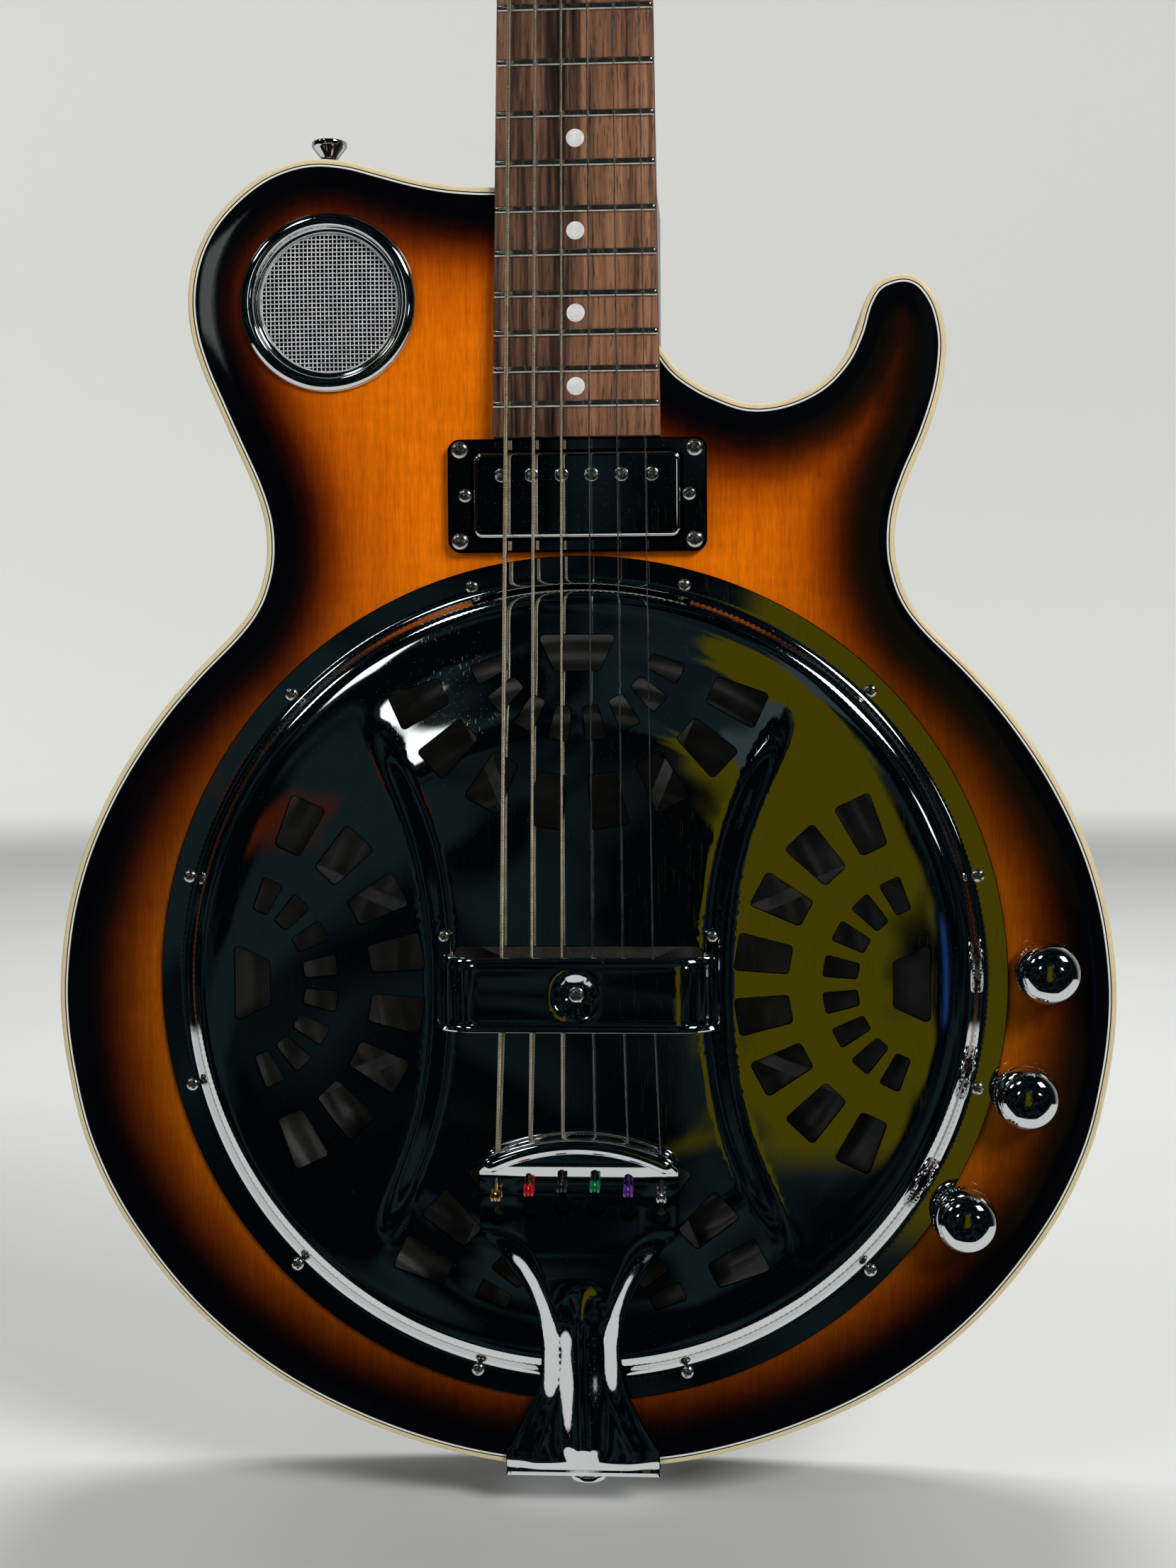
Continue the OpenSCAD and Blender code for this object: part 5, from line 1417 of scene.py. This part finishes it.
def make_tuners():
    ht = 14.5
    hous, bush = Parts(), Parts()
    for s in (-1, 1):
        for v in PV:
            B = T((s * 28, v, -ht))
            hous.add(*rbox(15.6, 19, 10.4, 2.6, 5), B @ T((0, 2.25, -7.6)))
            hous.add(*rbox(15.9, 19.4, 3.2, 0.7, 3), B @ T((0, 2.25, -1.6)))
            hous.add(*revolve([(0, -13.0), (2.2, -13.0), (2.6, -12.7), (2.6, -12.2), (0, -12.2)], 32), B @ T((0, 0, 0)))
            hous.add(*revolve([(1.75, 5.5), (4.3, 5.5), (4.3, 8.6), (3.7, 9.4), (1.75, 9.4)], 40, closed=True), B @ T((0, 7.7, -6.5)) @ Matrix.Rotation(s * math.pi / 2, 4, 'Y'))
            hous.add(*screw_head(1.8, 1.0), B @ T((-s * 5.6, 9.4, -12.8)) @ Matrix.Rotation(math.pi, 4, 'X'))
            U = T((s * 28, v, 0))
            bush.add(*revolve([(3.08, 0.02), (6.6, 0.02), (6.75, 0.3), (6.3, 0.75), (5.9, 0.85), (3.08, 0.85)], 64, closed=True), U)
            hexa = [(5.9 * math.cos(math.radians(60 * k + 12)), 5.9 * math.sin(math.radians(60 * k + 12))) for k in range(6)]
            hx = fillet(hexa, 0.8, 3)
            lv = [np.column_stack([hx * q, np.full(len(hx), z)]) for q, z in ((1, 0.8), (1, 2.0), (0.93, 2.4), (0.72, 2.55), (0.53, 2.55), (0.525, 0.8))]
            vv, ff = loft(lv, caps=False)
            k = len(hx)
            ff += [(5 * k + (j + 1) % k, 5 * k + j, j, (j + 1) % k) for j in range(k)]
            bush.add(vv, ff, U)
            bush.add(*revolve([(3.08, -ht), (4.5, -ht), (4.5, 0.1), (3.08, 0.1)], 40, closed=True), U)
    hous.done("tuner_bodies", HF, M["chrome"], nodes="tuner_housings", sharp=50)
    bush.done("tuner_nuts", HF, M["chrome"], nodes="tuner_bushings", sharp=40)
    for n in range(1, 7):
        i = 6 - n
        s, j = (-1, i) if i < 3 else (1, 5 - i)
        Mx = at(HF, s * 28, PV[j])
        p = Parts()
        p.add(*revolve([(0, -ht - 10.8), (3, -ht - 10.8), (3, 5.4), (2.95, 6.1), (2.65, 7.0), (2.55, 8.5), (2.55, 11.6), (2.7, 12.8), (2.98, 13.6), (3, 14.2), (3, 16.6), (2.7, 17.3), (2.0, 17.7), (0, 17.8)], 48))
        p.add(*revolve([(0, -ht - 9), (5.1, -ht - 9), (5.1, -ht - 4.2), (0, -ht - 4.2)], 56, mod=lambda q, a: 1 + 0.02 * math.cos(28 * a) if q in (1, 2) else 1))
        r = SR[i]
        turns = 3.2 if i < 3 else 5.2
        hel = []
        for k in range(int(turns * 26) + 1):
            a = -s * (2 * math.pi * k / 26) + (math.pi if s > 0 else 0) - s * 1.1
            hel.append(((2.6 + r) * math.cos(a), (2.6 + r) * math.sin(a), 10.9 - min(3.2, 2.15 * r * k / 26)))
        p.add(*tube(hel, r, 8), mat=1)
        p.add(*tube([(-3.4, 0.4, 15.1), (-2.5, 0.1, 15.2), (0, 0, 15.3), (2.4, -0.1, 15.2), (3.5, -0.5, 15.0), (3.9, -0.9, 14.6)], r, 8), mat=1)
        p.done(f"string_post_{n}", Mx, [M["chrome"], M["wound"] if i < 3 else M["steel"]], nodes=f"tuner_post_{n}", body=f"post_{n}", sharp=45)
        Mk = at(HF, s * 28, PV[j] + 7.7, -ht - 6.5) @ Matrix.Rotation(s * math.pi / 2, 4, 'Y')
        k = Parts()
        k.add(*revolve([(0, -5.6), (1.6, -5.4), (1.6, 9.6), (2.6, 9.9), (3.0, 10.6), (3.0, 12.2), (2.5, 13.2), (2.3, 14.6), (2.6, 15.6), (0, 15.8)], 40))
        worm = [(2.2, z) for z in np.linspace(-4.6, 4.6, 24)]
        k.add(*revolve([(0, -4.7)] + [(2.0 + (0.2 if q % 2 else 0), z) for q, (_, z) in enumerate(worm)] + [(0, 4.7)], 32))
        secs = []
        for t in np.linspace(0, 1, 17):                  # kidney-shaped button
            z = 14.6 + 15.2 * t
            wy = 8.4 * math.sqrt(max(0.02, 1 - ((t - 0.52) / 0.56) ** 2)) * (0.55 + 0.45 * min(1, t * 3.5))
            wx = 3.3 * (0.72 + 0.28 * math.sin(math.pi * min(1, t * 1.1))) * (1 if t < 0.9 else 0.85)
            secs.append([(wx * math.copysign(abs(math.cos(a)) ** 0.75, math.cos(a)), wy * math.copysign(abs(math.sin(a)) ** 0.85, math.sin(a)), z) for a in np.linspace(0, 2 * math.pi, 33)[:-1]])
        k.add(*loft(secs))
        k.done(f"key_button_{n}", Mk, M["chrome"], nodes=f"tuner_key_{n}", body=f"key_{n}", sharp=50)


make_tuners()


def make_buttons():
    pr = [(0, 0), (4.0, 0), (4.25, 0.25), (4.1, 0.9), (3.2, 2.4), (3.0, 3.4), (3.0, 6.4), (3.3, 7.4), (5.5, 10.2), (6.05, 10.9), (6.1, 11.3), (6.1, 12.2), (5.95, 12.55), (5.5, 12.8),
          (3.2, 12.85), (2.6, 12.2), (0, 12.2)]
    p = Parts()
    a = T((0, -168.2, -HALF)) @ Matrix.Rotation(math.pi / 2, 4, 'X')
    b = T((-88, 276.75, -HALF)) @ Matrix.Rotation(-math.pi / 2, 4, 'X')
    for m in (a, b):
        p.add(*revolve(pr, 72), m)
        p.add(*screw_head(2.5, 0.7), m @ T((0, 0, 12.2)))
        p.add(*shank(1.7, -20, 0.2), m)
    p.done("strap_pins", PF, M["chrome"], nodes="strap_buttons", sharp=40)


make_buttons()

for node, mat in {"linings": "raw", "neck_block": "raw", "tail_block": "raw", "soundwell": "raw", "body_braces": "maple", "truss_rod": "steel", "nut": "bone",
                  "truss_rod_cover": "black", "spider_bridge": "cast", "saddle": "maple", "tension_screw": "screw", "pickup_coils": "bobbin",
                  "potentiometers": "cast", "output_jack": "chrome", "jack_plate": "chrome", "wiring": "cable"}.items():
    paint(node, M[mat])


# ------------------------------------------------------------------ floor, backdrop, light
def make_stage():
    floor_z = min(cad_lo.z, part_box("strap_buttons")[0].z)
    n, prof = 96, [(0.0, 0.0)] + [(r, 0.0) for r in np.linspace(0.4, 3.0, 8)]
    R = 1.6
    prof += [(3.0 + R * math.sin(a), R * (1 - math.cos(a))) for a in np.linspace(0.1, math.pi / 2, 12)] + [(4.6, 4.2)]
    v, f = revolve(prof, n)
    v[:, 2] += floor_z - 0.0005
    me = bpy.data.meshes.new("studio_floor")
    me.from_pydata(v.tolist(), [], f)
    o = bpy.data.objects.new("studio_floor", me)
    bpy.context.scene.collection.objects.link(o)
    m, nt, b = material("studio_paper", Roughness=0.85)
    C(b, "Specular IOR Level").default_value = 0.1
    g = nt.noise(nt.coords(), 2.0, 3, 0.5)
    hz = nt.n("SeparateXYZ")
    nt.link(nt.n("TexCoord").outputs["Object"], hz.inputs[0])
    # painted shade: the floor part of the paper is coloured darker grey than the sweep rising behind it, standing in
    # for the less-lit floor
    wall = nt.mapr(hz.outputs[2], floor_z + 0.0, floor_z + 0.07)
    low = nt.mix(nt.mapr(g, 0.3, 0.7), (0.53, 0.535, 0.525), (0.50, 0.505, 0.495))
    nt.link(nt.mix(wall, low, (0.86, 0.855, 0.83)), C(b, "Base Color"))
    nt.link(nt.bump(nt.noise(nt.coords(), 900, 2, 0.5), 0.05, 0.0002), C(b, "Normal"))
    me.materials.append(m)
    for p in me.polygons:
        p.use_smooth = True
    o.visible_glossy = False
    o.visible_shadow = False
    o.visible_diffuse = False


def area_light(name, loc, target, size, power, color=(1, 1, 1), glossy=False):
    L = bpy.data.lights.new(name, "AREA")
    L.shape = "RECTANGLE"
    L.size, L.size_y = size
    L.energy = power
    L.color = color
    o = bpy.data.objects.new(name, L)
    bpy.context.scene.collection.objects.link(o)
    o.location = loc
    o.rotation_mode = "QUATERNION"
    o.rotation_quaternion = (Vector(target) - Vector(loc)).to_track_quat("-Z", "Y")
    o.visible_glossy = glossy
    o.visible_camera = False
    return o


def make_world():
    w = bpy.data.worlds.new("studio")
    bpy.context.scene.world = w
    w.use_nodes = True
    nt = NT(w.node_tree)
    w.node_tree.nodes.clear()
    out = nt.n("OutputWorld")
    bg = nt.n("Background")
    nt.link(bg.outputs[0], out.inputs[0])
    tc = nt.n("TexCoord")
    sep = nt.n("SeparateXYZ")
    nt.link(tc.outputs["Generated"], sep.inputs[0])
    x, y, z = sep.outputs
    az = nt.math("MULTIPLY", nt.math("ARCTAN2", x, nt.math("MULTIPLY", y, -1.0)), 180 / math.pi)
    el = nt.math("MULTIPLY", nt.math("ARCSINE", z), 180 / math.pi)
    # the dark room in front, the pale paper behind, the pale floor below
    nv = nt.n("TexNoise")
    nt.link(tc.outputs["Generated"], nv.inputs["Vector"])
    nv.inputs["Scale"].default_value = 4.0
    nv.inputs["Detail"].default_value = 2.0
    nv.inputs["Distortion"].default_value = 1.4
    room = nt.mix(nt.mapr(nv.outputs[0], 0.44, 0.66), (0.0006, 0.0012, 0.0020), (0.0062, 0.0130, 0.0145))
    behind = nt.mapr(y, 0.05, 0.60)
    col = nt.mix(behind, room, (0.30, 0.30, 0.29))
    side_az = nt.math("MAXIMUM", nt.math("SUBTRACT", nt.math("MINIMUM", nt.math("ABSOLUTE", az), 80.0), 30.0), 0.0)
    below = nt.math("MULTIPLY", nt.mapr(nt.math("MULTIPLY_ADD", side_az, -0.8, el), -44.5, -46.5), nt.mapr(el, -13.0, -15.0))
    col = nt.mix(below, col, (0.62, 0.62, 0.61))

    def patch(col, a, e, wa, we, c, soft=1.2):
        da = nt.math("ABSOLUTE", nt.math("SUBTRACT", az, a))
        de = nt.math("ABSOLUTE", nt.math("SUBTRACT", el, e))
        fa = nt.mapr(da, wa / 2 + soft, wa / 2 - soft)
        fe = nt.mapr(de, we / 2 + soft, we / 2 - soft)
        return nt.mix(nt.math("MULTIPLY", fa, fe), col, c)

    wob = nt.n("TexNoise")
    nt.link(tc.outputs["Generated"], wob.inputs["Vector"])
    wob.inputs["Scale"].default_value = 11.0
    wob.inputs["Detail"].default_value = 2.0
    az0 = az
    az = nt.math("MULTIPLY_ADD", nt.math("SUBTRACT", wob.outputs[0], 0.5), 9.0, az0)
    col = patch(col, 5.2, -2.0, 7.5, 24, (0.062, 0.050, 0.0015), 0.7)
    col = patch(col, 9.5, 10.0, 5, 8, (0.030, 0.045, 0.050), 0.8)
    col = patch(col, -14.6, -1.5, 4.0, 1.6, (0.050, 0.008, 0.003), 0.6)
    az = az0
    col = patch(col, 11.5, -7.0, 0.8, 4, (0.010, 0.035, 0.13), 0.5)
    col = patch(col, -16.5, 11.0, 5.0, 5.5, (1.5, 1.6, 1.55), 0.6)
    col = patch(col, 26.0, 6.0, 5, 4, (2.0, 2.1, 2.0), 0.5)
    col = patch(col, -34.0, 48.0, 12, 9, (5, 5.2, 5.2), 0.8)
    col = patch(col, -62.0, 36.0, 10, 10, (4, 4.2, 4.2), 0.8)
    col = patch(col, 50.0, 36.0, 20, 15, (7, 7, 6.8), 1.2)
    nt.link(col, bg.inputs[0])
    bg.inputs[1].default_value = 1.0
    w.cycles.sampling_method = 'MANUAL'
    w.cycles.sample_map_resolution = 1024


make_stage()
make_world()
area_light("key", (1.5, -1.9, 1.7), (0, 0, 0.25), (1.0, 0.8), 62, (1.0, 0.985, 0.96))
area_light("fill", (-1.8, -1.8, 0.9), (0, 0, 0.2), (1.4, 1.2), 22, (0.95, 0.98, 1.0))
area_light("paper_left", (-1.6, 0.9, 2.4), (-0.6, 3.6, 0.9), (1.6, 1.0), 40)
area_light("paper_right", (1.6, 0.9, 2.4), (0.6, 3.6, 0.9), (1.6, 1.0), 40)
area_light("top", (0.15, 0.75, 2.3), (0, 0, 0.15), (0.7, 0.7), 34)

sc = bpy.context.scene
sc.view_settings.view_transform = "Standard"
sc.view_settings.look = "None"
sc.view_settings.exposure = 0.0
sc.view_settings.gamma = 1.0
